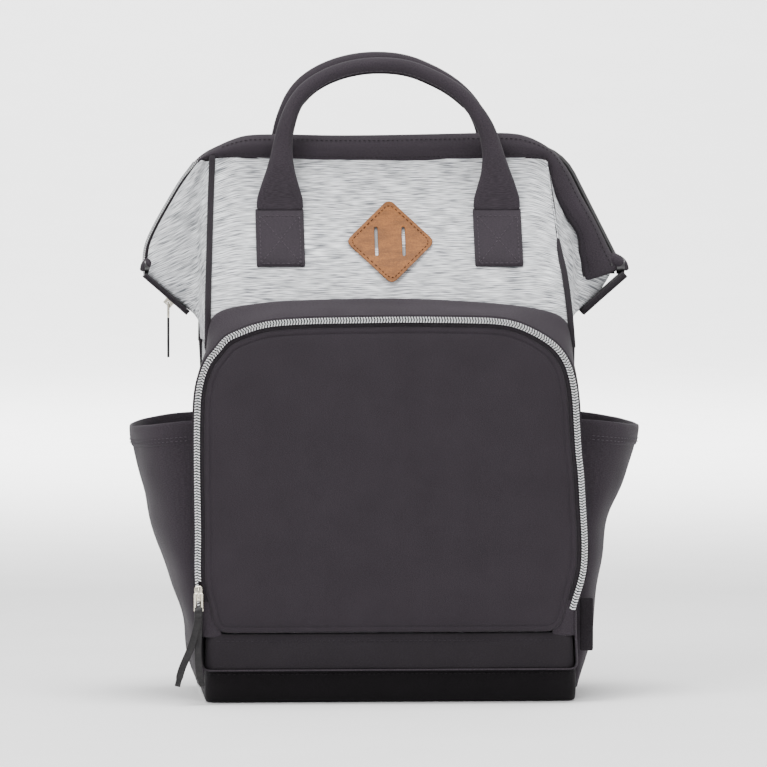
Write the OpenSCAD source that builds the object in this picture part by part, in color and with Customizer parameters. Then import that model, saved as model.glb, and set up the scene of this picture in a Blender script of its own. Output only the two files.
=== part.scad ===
// Wide-mouth diaper backpack: a soft bag whose mouth is held by two hinged wire frames.
// Millimetres, +Z up, the front faces -Y, the origin is the centre of the base's underside.

/* [Body] */
// Width of the main compartment, outside its walls
body_w = 274; // [240:2:320]
// Depth of the main compartment, outside its walls
body_d = 150; // [120:2:190]
// Height of the straight walls
shell_h = 268; // [230:2:280]
// Thickness of the fabric walls
wall_t = 3; // [2:0.5:4]
// Height of the stiff boot round the base
boot_h = 25; // [18:1:40]
// Thickness of the boot's upstand
boot_t = 2.5; // [2:0.5:4]
// Thickness of the boot's floor
boot_floor = 3; // [2:0.5:5]
// Thickness of the loose base board
board_t = 2.5; // [2:0.5:4]
// Thickness of the lining
lining_t = 1; // [0.8:0.1:1.5]

/* [Mouth] */
// Height of the closed mouth above the straight walls, at the top of its zip
mouth_rise = 157; // [137:1:175]
// Height of the axis that both wire frames turn on, above the straight walls
hinge_rise = 57; // [47:1:67]
// How far the front frame's knuckles stand outside the side walls
wing_out = 35; // [28:1:45]
// Slope of the frames' legs above the horizontal
leg_angle = 63; // [58:1:70]
// Bend radius of the frames' corners
corner_r = 40; // [32:1:50]
// Diameter of the frames' wire
rod_d = 4; // [3:0.5:5]
// Width of the band that holds the wire
band_w = 22; // [18:1:26]
// Radius of the pins that join the two frames
pin_r = 1.5; // [1:0.25:2]
// Height of the zip's teeth above the band
zip_h = 3; // [2.5:0.5:4]

/* [Front pocket] */
// How far the front pocket stands out past each side wall
pocket_over = 14; // [4:1:18]
// Height of the top of the front pocket above the straight walls
pocket_rise = 29; // [16:1:32]
// Depth of the front pocket's gusset
pocket_d = 21; // [14:1:35]
// Radius of the pocket's top corners
pocket_r = 72; // [50:1:90]
// Height of the seam that the pocket's flap folds down on
flap_z = 54; // [46:1:70]
// Thickness of the padded flap
flap_t = 2.5; // [2:0.5:3]

/* [Bottle pockets] */
// Height of the bottle pockets' rims
bottle_h = 207; // [170:1:220]
// How far the bottle pockets stand out at the rim
bottle_out = 56; // [40:1:70]
// Width of a bottle pocket, front to back
bottle_w = 132; // [100:2:140]
// Thickness of the bottle pockets' fabric
bottle_t = 2.5; // [2:0.5:3]
// Depth of the hem round a bottle pocket's rim
hem_h = 14; // [10:1:20]

/* [Handles] */
// Diameter of the padded handles
handle_d = 13; // [11:0.5:15]
// Half the distance between a handle's two legs
handle_x = 81; // [65:1:88]
// Height of the front handle's centre line above the closed mouth
handle_rise = 51; // [35:1:75]
// How much higher the rear handle stands
rear_rise = 6; // [0:1:12]
// Width of the sewn tabs under the handles
tab_w = 34; // [28:1:40]
// Length of the sewn tabs
tab_l = 43; // [36:1:46]
// Thickness of the sewn tabs
tab_t = 3.5; // [2.5:0.5:4]

/* [Patch] */
// Side of the square leather patch, which stands on its corner
patch_side = 45; // [35:1:55]
// Thickness of the patch
patch_t = 2.4; // [1.5:0.1:3]
// Length of the two slots in the patch
slot_l = 22; // [14:1:26]
// Width of those slots
slot_w = 3; // [2:0.5:4]
// Distance between the slots
slot_pitch = 20; // [14:1:24]

/* [Back] */
// Thickness of the padded back
pad_t = 9.5; // [6:0.5:14]
// Width of a shoulder strap
strap_w = 58; // [45:1:70]
// Distance between the shoulder straps' middles
strap_pitch = 124; // [100:2:150]
// Thickness of the shoulder straps
strap_t = 9; // [6:0.5:12]
// How far the shoulder straps bow out from their chord
strap_bow = 24; // [16:1:34]
// Width of the webbing
web_w = 25; // [20:1:30]

/* [Hidden] */

charcoal = "#3b373c";
heather = "#b9bcbf";
tan_leather = "#b9824f";
steel = "#c9c6bd";
near_black = "#1d1b1e";

gap = 0.3;          // room between pieces that are sewn face to face
seam_r = 1;         // half the thickness of the upper fabric
half_w = body_w / 2;
half_d = body_d / 2;
mouth_h = shell_h + mouth_rise;
hinge_z = shell_h + hinge_rise;
hinge_x = half_w + wing_out;
pocket_w = body_w + 2 * pocket_over;
pocket_top = shell_h + pocket_rise;
handle_top = mouth_h + handle_rise;
inner_w = half_w - wall_t - gap;
inner_d = half_d - wall_t - gap;
floor_z = boot_floor + gap;
board_top = floor_z + board_t;

// Mouth frames
band_lip = 5;                           // band outside the wire's centre line
band_in = band_w - band_lip;            // band inside the wire's centre line
rod_z = mouth_h - band_lip - zip_h;     // the wire's top bar
rod_y = 6;                              // the wire's distance from the mouth's middle plane
band_y0 = 2;
band_y1 = 10;
knuckle_r = 6;
knuckle_l = 6;
knuckle_pitch = 7.5;                    // front knuckle to rear knuckle
pin_clear = 0.06;
head_r = 3.2;
head_t = 1.2;
band_foot = hinge_z + knuckle_r + 2;    // the bands stop above the knuckles
rear_x = hinge_x + knuckle_pitch;
pin_x0 = hinge_x - knuckle_l / 2 - gap;
pin_x1 = rear_x + knuckle_l / 2 + gap;
zip_tape_t = 1.2;

// Upper panels, from the walls up to the bands
low_y = half_d - wall_t - seam_r - 0.7;
low_z = shell_h + seam_r + gap;
top_y = 8;
top_z = rod_z - band_in - seam_r - gap;
tilt = atan((low_y - top_y) / (top_z - low_z));
seam_gap = 6.4;                         // panel edge to gusset edge, with the piping between
piping_r = 1.5;

// Zip tails, from the wing tips back to the gussets
tail_out = [hinge_x + 9, hinge_z - knuckle_r - 1.5];
tail_in = [half_w + 12.8, hinge_z - 35];
tail_l = norm(tail_out - tail_in);
tail_angle = atan2(tail_out[1] - tail_in[1], tail_out[0] - tail_in[0]);
tail_w = 24;
tail_t = 1;
post_w = 0.8;
post_room = 1.6;                        // gap between two rows of teeth
mouth_park = 16;                        // the parked slider's place along the tail

// Front pocket
pocket_foot = boot_h + 1;
pocket_wall = 3;
pocket_y1 = half_d + gap;
pocket_y0 = pocket_y1 + pocket_d;
tape_in = 7.4;                          // outer row: from the pocket's edge to its teeth
row_in = 9.8;                           // inner row begins here
panel_in = 12.3;                        // the flap's cloth begins here
zip_foot = 72;
chain_t = 3;
face_y0 = pocket_y0 + gap + 2;          // front of the flap
hinge_y = face_y0 - flap_t / 2;
slider_z = 84;
slider_l = 12;
plate_t = 1.3;
slider_x = pocket_w / 2 - 5.9;
link_r = 0.9;
link_y = face_y0 + 5.1;

// Handles
patch_z = hinge_z + 20;
tab_z = hinge_z + 22.5;
tongue_t = 2.4;
tongue_w = 28;
tongue_h = 18;
pivot_out = seam_r + gap + tab_t + tongue_t / 2 + 0.4;  // the handle's axis, out from the panel
pivot_y = panel_y(tab_z) + tab_l / 2 * sin(tilt) - pivot_out * cos(tilt);
pivot_z = tab_z + tab_l / 2 * cos(tilt) + pivot_out * sin(tilt);
handle_z = pivot_z - 0.3;
shoulder_z = handle_z + 34;
crown_y = 20;

// Straps
pad_y1 = half_d + gap + pad_t;
yoke_t = 4;
yoke_y = pad_y1 + gap + yoke_t;
strap_z0 = 96;
strap_z1 = shell_h - 18;
strap_chord = strap_z1 - strap_z0;
strap_r = (pow(strap_chord / 2, 2) + pow(strap_bow, 2)) / (2 * strap_bow);
strap_cz = (strap_z0 + strap_z1) / 2;
strap_cy = yoke_y + gap - sqrt(pow(strap_r - strap_t / 2, 2) - pow(strap_chord / 2, 2));
strap_end_y = strap_cy + sqrt(pow(strap_r, 2) - pow(strap_chord / 2, 2));
buckle_t = 4;
buckle_w = 32;
buckle_z = strap_z0 - 5.8;
web_t = 1.3;
anchor_h = 14;

// y of the sloping upper front panel's middle plane at height z, as a negative number
function panel_y(z) = -low_y + (low_y - top_y) * (z - low_z) / (top_z - low_z);
function flip(p) = [-p[0], p[1]];
function corner_x(s) = s - (rod_z - hinge_z) / tan(leg_angle);
function bar_x(s) = corner_x(s) - corner_r * tan(leg_angle / 2);
// Outline of the area under a frame, moved out from the wire by o and cut off level at foot
function frame_half(s, o, foot) = concat(
    [[s + o / sin(leg_angle) - (foot - hinge_z) / tan(leg_angle), foot]],
    [for (a = [90 - leg_angle : leg_angle / 8 : 90.01])
        [bar_x(s) + (corner_r + o) * cos(a), rod_z - corner_r + (corner_r + o) * sin(a)]]
);
function frame_outline(s, o, foot) = let (h = frame_half(s, o, foot))
    concat(h, [for (i = [len(h) - 1 : -1 : 0]) flip(h[i])]);
function unit(v) = v / norm(v);
function ring(path, i, r, n) = let (
    t = unit(path[min(i + 1, len(path) - 1)] - path[max(i - 1, 0)]),
    u = unit(cross(t, [0, 1, 0])),
    v = cross(t, u)
) [for (k = [0 : n - 1]) path[i] + r * (cos(360 * k / n) * u + sin(360 * k / n) * v)];

module slab(x, y, z) {
    translate([x[0], y[0], z[0]])
        cube([x[1] - x[0], y[1] - y[0], z[1] - z[0]]);
}

// A flat shape drawn in X and Z, with its faces at y0 and y1
module plate_y(y0, y1) {
    translate([0, y1, 0])
        rotate([90, 0, 0])
            linear_extrude(y1 - y0)
                children();
}

module both_sides() {
    children();
    mirror([1, 0, 0])
        children();
}

module to_side(side) {
    mirror([side < 0 ? 1 : 0, 0, 0])
        children();
}

module round_rect(w, d, r) {
    square([w - 2 * r, d], center = true);
    square([w, d - 2 * r], center = true);
    for (x = [-1, 1], y = [-1, 1])
        translate([x * (w / 2 - r), y * (d / 2 - r)])
            circle(r, $fn = 32);
}

// A closed solid through rings of points, all with as many points
module loft(rings) {
    n = len(rings[0]);
    m = len(rings);
    polyhedron(
        points = [for (r = rings) each r],
        faces = concat(
            [[for (i = [0 : n - 1]) i]],
            [[for (i = [n - 1 : -1 : 0]) (m - 1) * n + i]],
            [for (j = [0 : m - 2], i = [0 : n - 1]) let (a = j * n + i, b = j * n + (i + 1) % n)
                each [[a, b + n, b], [a, a + n, b + n]]]
        )
    );
}

module cloth(points) {
    hull()
        for (p = points)
            translate(p)
                sphere(seam_r, $fn = 8);
}

// ---- base and walls ----
module base_boot() {
    color(charcoal)
        difference() {
            linear_extrude(boot_h)
                round_rect(body_w + 2 * (gap + boot_t), body_d + 2 * (gap + boot_t), 5);
            translate([0, 0, boot_floor])
                linear_extrude(boot_h)
                    square([body_w + 2 * gap, body_d + 2 * gap], center = true);
        }
}

module base_board() {
    color(near_black)
        translate([0, 0, floor_z])
            linear_extrude(board_t)
                round_rect(2 * inner_w, 2 * inner_d, 8);
}

module cross_wall(sign, top) {
    y = sign > 0 ? [half_d - wall_t, half_d] : [-half_d, -half_d + wall_t];
    slab([-inner_w, inner_w], y, [floor_z, top]);
}

module side_wall(side) {
    color(heather)
        to_side(side)
            slab([half_w - wall_t, half_w], [-half_d, half_d], [floor_z, shell_h]);
}

module lining() {
    z0 = board_top + gap;
    w = inner_w - gap;
    d = inner_d - gap;
    color("#9a9da1")
        difference() {
            slab([-w, w], [-d, d], [z0, shell_h]);
            slab([-w + lining_t, w - lining_t], [-d + lining_t, d - lining_t],
                [z0 + lining_t, shell_h + 1]);
        }
}

module inner_pocket() {
    y1 = inner_d - 2 * gap - lining_t;
    color("#83868b") {
        slab([-100, 100], [y1 - 1.6, y1], [22, 150]);
        slab([-100, 100], [y1 - 3, y1], [150, 160]);
    }
}

module back_pad() {
    color(charcoal)
        plate_y(half_d + gap, pad_y1)
            translate([0, (40 + shell_h - 6) / 2])
                round_rect(body_w - 24, shell_h - 46, 22);
}

// ---- the folding upper part ----
module upper_panel(sign) {
    color(heather)
        cloth([for (x = [-1, 1]) each [
            [x * (half_w - 8), sign * low_y, low_z],
            [x * (bar_x(hinge_x) - 3), sign * top_y, top_z]
        ]]);
}

// One half of a side gusset: from the wall's top edge out to the wing tip and up the band
module gusset_half(sign, s) {
    a = [half_w - seam_r, sign * (half_d - seam_r - gap), low_z];
    b = [half_w - seam_r, 0, low_z];
    t = [pin_x0 - head_t - gap - seam_r, 0, hinge_z];
    low = frame_half(s, -band_in, band_foot);
    d = [low[0][0] - 1.6, sign * rod_y, band_foot - 1.4];
    c = [low[1][0] - 1.8, sign * top_y, low[1][1] - 1.2];
    e = [bar_x(hinge_x) - 3 + seam_gap, sign * top_y, top_z - 2.4];
    cloth([a, b, t]);
    cloth([a, t, d]);
    cloth([a, d, c]);
    cloth([a, c, e]);
}

module gusset(side) {
    color(heather)
        to_side(side) {
            gusset_half(-1, hinge_x);
            gusset_half(1, rear_x);
        }
}

module piping(sign) {
    low = [half_w - 8 + seam_gap / 2, sign * (low_y - 0.4), low_z + 0.6];
    high = [bar_x(hinge_x) - 3 + seam_gap / 2, sign * top_y, top_z - 1];
    color(near_black)
        both_sides()
            hull() {
                translate(low)
                    sphere(piping_r, $fn = 12);
                translate(high)
                    sphere(piping_r, $fn = 12);
            }
}

// Places a child on the sloping panel at height z: its Z runs up the slope, its -Y faces out
module on_panel(z, x = 0) {
    translate([x, panel_y(z), z])
        rotate([-tilt, 0, 0])
            children();
}

module leather_patch() {
    y1 = -seam_r - gap;
    color(tan_leather)
        on_panel(patch_z)
            plate_y(y1 - patch_t, y1)
                difference() {
                    rotate(45)
                        round_rect(patch_side, patch_side, 4);
                    for (x = [-1, 1], end = [-1, 1]) {
                        translate([x * slot_pitch / 2, 0])
                            square([slot_w, slot_l - slot_w], center = true);
                        translate([x * slot_pitch / 2, end * (slot_l - slot_w) / 2])
                            circle(slot_w / 2, $fn = 24);
                    }
                }
}

// ---- mouth frames ----
function wire_path(s, y) = let (
    arc = [for (a = [90 - leg_angle : leg_angle / 6 : 90.01])
        [bar_x(s) + corner_r * cos(a), rod_z - corner_r + corner_r * sin(a)]],
    half = concat([[s, hinge_z]], arc)
) concat(
    [for (p = half) [p[0], y, p[1]]],
    [for (i = [len(half) - 1 : -1 : 0]) [-half[i][0], y, half[i][1]]]
);

module rod(s, y, r) {
    path = wire_path(s, y);
    loft([for (i = [0 : len(path) - 1]) ring(path, i, r, 12)]);
}

module wire_frame(s, sign) {
    color(steel)
        difference() {
            union() {
                rod(s, sign * rod_y, rod_d / 2);
                both_sides()
                    translate([s - knuckle_l / 2, 0, hinge_z])
                        rotate([0, 90, 0])
                            cylinder(r = knuckle_r, h = knuckle_l, $fn = 48);
            }
            both_sides()
                translate([s - knuckle_l, 0, hinge_z])
                    rotate([0, 90, 0])
                        cylinder(r = pin_r + pin_clear, h = 2 * knuckle_l, $fn = 32);
        }
}

module hinge_pins() {
    color(steel)
        both_sides()
            translate([0, 0, hinge_z])
                rotate([0, 90, 0]) {
                    translate([0, 0, pin_x0])
                        cylinder(r = pin_r, h = pin_x1 - pin_x0, $fn = 32);
                    for (x = [pin_x0 - head_t, pin_x1])
                        translate([0, 0, x])
                            cylinder(r = head_r, h = head_t, $fn = 32);
                }
}

module band_area(s, o0, o1) {
    difference() {
        polygon(frame_outline(s, o1, band_foot));
        polygon(frame_outline(s, o0, band_foot - 1));
    }
}

module mouth_band(s, sign) {
    y = sign > 0 ? [band_y0, band_y1] : [-band_y1, -band_y0];
    color(charcoal)
        difference() {
            plate_y(y[0], y[1])
                band_area(s, -band_in, band_lip);
            rod(s, sign * rod_y, rod_d / 2 + gap);
        }
}

module mouth_zip(s, sign) {
    tape = sign > 0 ? [gap, band_y1 - gap] : [-band_y1 + gap, -gap];
    teeth = sign > 0 ? [gap, 3] : [-3, -gap];
    o = band_lip + gap;
    color(steel) {
        plate_y(tape[0], tape[1])
            band_area(s, o, o + zip_tape_t);
        plate_y(teeth[0], teeth[1])
            band_area(s, o, o + zip_h - gap);
    }
}

// Along the zip tail: X runs from the gusset out to the wing tip, and -Z faces down and out
module on_tail(along) {
    translate([tail_in[0], 0, tail_in[1]])
        rotate([0, -tail_angle, 0])
            translate([along, 0, 0])
                children();
}

module zip_tail(side) {
    color(near_black)
        to_side(side)
            on_tail(0)
                difference() {
                    slab([0, tail_l], [-tail_w / 2, tail_w / 2], [-tail_t / 2, tail_t / 2]);
                    slab([4, tail_l - 4], [-post_room / 2, post_room / 2], [-tail_t, tail_t]);
                }
}

module mouth_slider() {
    reach = tail_t / 2 + gap;
    hole_z = -reach - plate_t - 2.1;
    color(steel)
        to_side(-1)
            on_tail(mouth_park)
                difference() {
                    union() {
                        slab([-5, 5], [-4.5, 4.5], [reach, reach + plate_t]);
                        slab([-5, 5], [-4.5, 4.5], [-reach - plate_t, -reach]);
                        slab([-2, 2], [-post_w / 2, post_w / 2], [-reach, reach]);
                        slab([-3.5, 3.5], [-1.5, 1.5], [hole_z - 2, -reach - plate_t]);
                    }
                    translate([0, 0, hole_z])
                        rotate([90, 0, 0])
                            cylinder(r = link_r + 0.3, h = 20, center = true, $fn = 24);
                }
}

// A wire link that hangs from a cross bar along X at the origin
module pull_link(half, drop) {
    translate([-half, 0, 0])
        rotate([0, 90, 0])
            cylinder(r = link_r, h = 2 * half, $fn = 20);
    for (x = [-half, half])
        translate([x, 0, -drop])
            cylinder(r = link_r, h = drop, $fn = 20);
    for (x = [-half, half])
        translate([x, 0, 0])
            sphere(link_r, $fn = 20);
    translate([-half - link_r, -link_r, -drop - 2 * link_r])
        cube([2 * half + 2 * link_r, 2 * link_r, 2 * link_r]);
}

function tail_point(along, out) = [
    tail_in[0] + along * cos(tail_angle) + out * sin(tail_angle),
    tail_in[1] + along * sin(tail_angle) - out * cos(tail_angle)
];
mouth_link = tail_point(mouth_park, tail_t / 2 + gap + plate_t + 2.1);

module mouth_pull_link() {
    color(steel)
        translate([-mouth_link[0], 0, mouth_link[1]])
            rotate([0, 0, 90])
                pull_link(2.8, 9);
}

module mouth_pull_tab() {
    color(near_black)
        translate([-mouth_link[0], 0, mouth_link[1] - 9 - 2 * link_r - gap])
            slab([-0.9, 0.9], [-3.5, 3.5], [-30, 0]);
}

// ---- front pocket ----
module arch(inset, foot) {
    w = pocket_w / 2 - inset;
    top = pocket_top - inset;
    r = pocket_r - inset;
    translate([-w, foot])
        square([2 * w, top - r - foot]);
    translate([-w + r, foot])
        square([2 * (w - r), top - foot]);
    for (x = [-1, 1])
        translate([x * (w - r), top - r])
            circle(r, $fn = 96);
}

module pocket_gusset() {
    color(charcoal)
        plate_y(-pocket_y0, -pocket_y1)
            difference() {
                arch(0, pocket_foot);
                arch(pocket_wall, pocket_foot + pocket_wall);
            }
}

module pocket_lower_panel() {
    w = pocket_w / 2 - pocket_wall - gap;
    color(charcoal)
        slab([-w, w], [-pocket_y0 + gap, -pocket_y0 + gap + flap_t],
            [pocket_foot + pocket_wall + gap, flap_z - 1.5]);
}

module pocket_flap() {
    color("#403c40")
        plate_y(-face_y0, -face_y0 + flap_t)
            difference() {
                arch(panel_in, flap_z);
                for (x = [-1, 1])
                    translate([x * (pocket_w / 2 - panel_in), flap_z])
                        rotate(45)
                            square(18, center = true);
            }
}

// Outer row: its tape lies on the gusset's front edge, its teeth reach inwards
module pocket_zip_outer() {
    color(steel) {
        plate_y(-pocket_y0 - 1.8, -pocket_y0 - gap)
            difference() {
                arch(0, zip_foot);
                arch(tape_in - 2.4, zip_foot - 1);
            }
        plate_y(-pocket_y0 - chain_t, -pocket_y0)
            difference() {
                arch(tape_in - 2.4, zip_foot);
                arch(tape_in, zip_foot - 1);
            }
    }
}

module pocket_zip_inner() {
    color(steel)
        plate_y(-pocket_y0 - chain_t, -pocket_y0)
            difference() {
                arch(row_in, zip_foot);
                arch(panel_in - gap, zip_foot - 1);
            }
}

module pocket_slider() {
    x = [-(pocket_w / 2 - 3.6), -(pocket_w / 2 - 9.4)];
    z = [slider_z - slider_l / 2, slider_z + slider_l / 2];
    front = -pocket_y0 - chain_t - gap;
    back = -pocket_y0 + gap;
    color(steel)
        difference() {
            union() {
                slab(x, [front - plate_t, front], z);
                slab(x, [back, back + plate_t], z);
                slab([x[1] - 1.4, x[1] - 0.4], [front, back], [z[1] - 5, z[1]]);
                slab([-slider_x - 1.4, -slider_x + 1.4], [-link_y - 1.9, front - plate_t],
                    [slider_z - 4, slider_z + 4]);
            }
            translate([-slider_x, -link_y, slider_z])
                rotate([0, 90, 0])
                    cylinder(r = link_r + 0.3, h = 20, center = true, $fn = 24);
        }
}

module pocket_pull_link() {
    color(steel)
        translate([-slider_x, -link_y, slider_z])
            pull_link(2.6, 11);
}

// A leather strip doubled over the link, with two loose ends
module pocket_pull_strip() {
    top = slider_z - 11 - 2 * link_r - gap;
    color(near_black)
        translate([-slider_x, -link_y, top]) {
            slab([-2.6, 2.6], [-1.5, 1.5], [-8, 0]);
            slab([-2.6, 2.6], [-1.5, -0.1], [-56, -7.9]);
            translate([0, 0.1, -7])
                rotate([0, 13, 0])
                    slab([-2.6, 2.6], [0, 1.4], [-54, 0]);
        }
}

// ---- bottle pockets ----
// A bottle pocket's bulge at height z, as a share of its bulge at the rim
function bulge(z) = let (t = (z - boot_h) / (bottle_h - boot_h)) 0.14 + 0.5 * t + 0.36 * t * t;
function pocket_ring(z, inset, back) = [for (a = [-90 : 15 : 90]) [
    (abs(a) == 90 ? back : half_w + gap + (bottle_out * bulge(z) - inset) * pow(cos(a), 0.6)),
    (bottle_w / 2 - inset) * sin(a),
    z
]];

module bottle_cloth(z0, z1, t, proud) {
    steps = 5;
    heights = [for (i = [0 : steps]) z0 + (z1 - z0) * i / steps];
    difference() {
        loft([for (z = heights) pocket_ring(z, -proud, half_w + gap)]);
        loft([for (i = [0 : steps])
            pocket_ring(heights[i] + (i == 0 ? t : 0) + (i == steps ? 1 : 0), t, half_w - 1)]);
    }
}

module bottle_pocket(side) {
    color(charcoal)
        to_side(side)
            bottle_cloth(boot_h + 1, bottle_h - hem_h - gap, bottle_t, 0);
}

module pocket_hem(side) {
    color(charcoal)
        to_side(side)
            difference() {
                loft([for (z = [bottle_h - hem_h, bottle_h]) pocket_ring(z, -0.8, half_w + gap)]);
                loft([for (z = [bottle_h - hem_h - 1, bottle_h + 1])
                    pocket_ring(z, bottle_t, half_w - 1)]);
            }
}

// ---- handles ----
module handle_tabs(sign) {
    y1 = -seam_r - gap;
    color(charcoal)
        mirror([0, sign > 0 ? 1 : 0, 0])
            for (x = [-handle_x, handle_x])
                on_panel(tab_z, x)
                    slab([-tab_w / 2, tab_w / 2], [y1 - tab_t, y1], [-tab_l / 2, tab_l / 2]);
}

function handle_path(top) = let (
    y0 = pivot_y,
    foot = handle_z + tongue_h - 4
) concat(
    [[-handle_x, y0, foot], [-handle_x, y0 + 1, (foot + shoulder_z) / 2]],
    [for (a = [180 : -9 : 0])
        [handle_x * cos(a), y0 + 2 + (-crown_y - y0 - 2) * sin(a),
         shoulder_z + (top - shoulder_z) * sin(a)]],
    [[handle_x, y0 + 1, (foot + shoulder_z) / 2], [handle_x, y0, foot]]
);

module handle(sign, top) {
    path = handle_path(top);
    color(charcoal)
        mirror([0, sign > 0 ? 1 : 0, 0]) {
            loft([for (i = [0 : len(path) - 1]) ring(path, i, handle_d / 2, 10)]);
            for (x = [-handle_x, handle_x])
                slab([x - tongue_w / 2, x + tongue_w / 2],
                    [pivot_y - tongue_t / 2, pivot_y + tongue_t / 2],
                    [handle_z, handle_z + tongue_h]);
        }
}

// ---- shoulder straps ----
module across(x0, x1) {
    translate([x0, 0, 0])
        rotate([90, 0, 90])
            linear_extrude(x1 - x0)
                children();
}

module strap_yoke() {
    color(charcoal)
        slab([-strap_pitch / 2 - 34, strap_pitch / 2 + 34], [pad_y1 + gap, yoke_y],
            [strap_z1 - 18, shell_h - 8]);
}

module strap_pad(side) {
    x = strap_pitch / 2;
    color(charcoal)
        to_side(side)
            across(x - strap_w / 2, x + strap_w / 2)
                intersection() {
                    translate([strap_cy, strap_cz])
                        difference() {
                            circle(strap_r + strap_t / 2, $fn = 200);
                            circle(strap_r - strap_t / 2, $fn = 200);
                        }
                    translate([pad_y1, strap_z0])
                        square([200, strap_chord]);
                }
}

// The buckle's middle plane is at y 0 and its round top bar at z 0
module at_buckle(side) {
    to_side(side)
        translate([strap_pitch / 2, strap_end_y, buckle_z])
            children();
}

module strap_loop(side) {
    w = web_w / 2;
    y = buckle_t / 2 + gap;
    color(charcoal)
        at_buckle(side)
            difference() {
                slab([-w, w], [-y - web_t, y + web_t], [-4, 5.5]);
                slab([-w - 1, w + 1], [-y, y], [-2.7, 6]);
            }
}

module adjuster(side) {
    w = buckle_w / 2;
    rail = (buckle_w - web_w) / 2 - 1;
    y = buckle_t / 2;
    color(near_black)
        at_buckle(side) {
            both_sides()
                slab([w - rail, w], [-y, y], [-20, 1.8]);
            translate([-w, 0, 0])
                rotate([0, 90, 0])
                    cylinder(r = 1.8, h = 2 * w, $fn = 32);
            slab([-w, w], [-y, y], [-10, -6.2]);
            slab([-w, w], [-y, y], [-20, -14.5]);
        }
}

module webbing(side) {
    y = -buckle_t / 2 - gap;
    color(charcoal)
        at_buckle(side)
            slab([-web_w / 2, web_w / 2], [y - web_t, y],
                [boot_h + 0.5 + anchor_h + gap - buckle_z, -8]);
}

module webbing_tail(side) {
    y = buckle_t / 2 + gap;
    color(charcoal)
        at_buckle(side)
            slab([-web_w / 2, web_w / 2], [y, y + web_t], [-62, -8]);
}

module strap_anchors() {
    y1 = strap_end_y - buckle_t / 2 - gap;
    color(charcoal)
        both_sides()
            translate([strap_pitch / 2, 0, 0])
                slab([-14, 14], [half_d + gap, y1], [boot_h + 0.5, boot_h + 0.5 + anchor_h]);
}

module side_label() {
    color(near_black)
        slab([pocket_w / 2 + gap, pocket_w / 2 + 7], [-half_d - 11, -half_d - 9.8], [40, 76]);
}

base_boot();
base_board();
color(heather) cross_wall(-1, pocket_top);  // front_wall
color(charcoal) cross_wall(1, shell_h);  // back_wall
side_wall(-1);  // left_side_wall
side_wall(1);  // right_side_wall
lining();
inner_pocket();
back_pad();
upper_panel(-1);  // upper_front_panel
upper_panel(1);  // upper_rear_panel
gusset(-1);  // left_gusset
gusset(1);  // right_gusset
piping(-1);  // front_piping
piping(1);  // rear_piping
leather_patch();
wire_frame(hinge_x, -1);  // front_frame
wire_frame(rear_x, 1);  // rear_frame
hinge_pins();
mouth_band(hinge_x, -1);  // front_mouth_band
mouth_band(rear_x, 1);  // rear_mouth_band
mouth_zip(hinge_x, -1);  // mouth_zip_front
mouth_zip(rear_x, 1);  // mouth_zip_rear
zip_tail(-1);  // left_zip_tail
zip_tail(1);  // right_zip_tail
mouth_slider();
mouth_pull_link();
mouth_pull_tab();
pocket_gusset();
pocket_lower_panel();
pocket_flap();
pocket_zip_outer();
pocket_zip_inner();
pocket_slider();
pocket_pull_link();
pocket_pull_strip();
bottle_pocket(-1);  // left_bottle_pocket
bottle_pocket(1);  // right_bottle_pocket
pocket_hem(-1);  // left_pocket_hem
pocket_hem(1);  // right_pocket_hem
handle(-1, handle_top);  // front_handle
handle(1, handle_top + rear_rise);  // rear_handle
handle_tabs(-1);  // front_handle_tabs
handle_tabs(1);  // rear_handle_tabs
strap_yoke();
strap_pad(-1);  // left_strap_pad
strap_pad(1);  // right_strap_pad
strap_loop(-1);  // left_strap_loop
strap_loop(1);  // right_strap_loop
adjuster(-1);  // left_adjuster
adjuster(1);  // right_adjuster
webbing(-1);  // left_webbing
webbing(1);  // right_webbing
webbing_tail(-1);  // left_webbing_tail
webbing_tail(1);  // right_webbing_tail
strap_anchors();
side_label();
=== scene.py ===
"""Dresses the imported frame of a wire-mouthed diaper backpack in cloth, leather and metal."""

import math

import bmesh
import bpy
from bpy.props import FloatProperty, FloatVectorProperty, PointerProperty
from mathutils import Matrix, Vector, noise


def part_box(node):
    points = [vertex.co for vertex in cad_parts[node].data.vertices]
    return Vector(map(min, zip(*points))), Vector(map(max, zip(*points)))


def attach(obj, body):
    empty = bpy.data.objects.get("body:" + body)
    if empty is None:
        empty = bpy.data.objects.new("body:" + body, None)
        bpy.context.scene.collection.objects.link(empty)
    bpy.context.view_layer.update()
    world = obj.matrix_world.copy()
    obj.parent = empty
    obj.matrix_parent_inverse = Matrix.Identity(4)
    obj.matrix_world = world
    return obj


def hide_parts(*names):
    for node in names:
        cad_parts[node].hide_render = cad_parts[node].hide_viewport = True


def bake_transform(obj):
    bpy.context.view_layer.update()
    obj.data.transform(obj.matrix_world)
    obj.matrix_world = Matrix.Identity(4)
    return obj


bl_info = {
    "name": "Wire-Mouthed Diaper Backpack",
    "version": (1, 0, 0),
    "blender": (4, 5, 0),
    "location": "View3D > Sidebar > Backpack",
    "description": "Dresses the packed frame of a diaper backpack in cloth, leather and metal",
    "category": "Add Mesh",
}

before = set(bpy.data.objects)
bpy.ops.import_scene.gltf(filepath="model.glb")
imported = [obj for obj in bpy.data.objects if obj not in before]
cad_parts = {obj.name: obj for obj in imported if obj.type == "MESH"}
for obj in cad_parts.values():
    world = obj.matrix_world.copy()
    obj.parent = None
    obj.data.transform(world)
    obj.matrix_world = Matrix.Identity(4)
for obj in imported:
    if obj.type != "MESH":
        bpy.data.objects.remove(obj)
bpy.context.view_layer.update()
MM = 0.001

# Shapes, in millimetres. Outlines are (x, z) pairs seen from the front.

# The body's walls: their top and the half sizes of their plan
SHELL_TOP = 268
HALF_W = 137
HALF_D = 75

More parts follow.
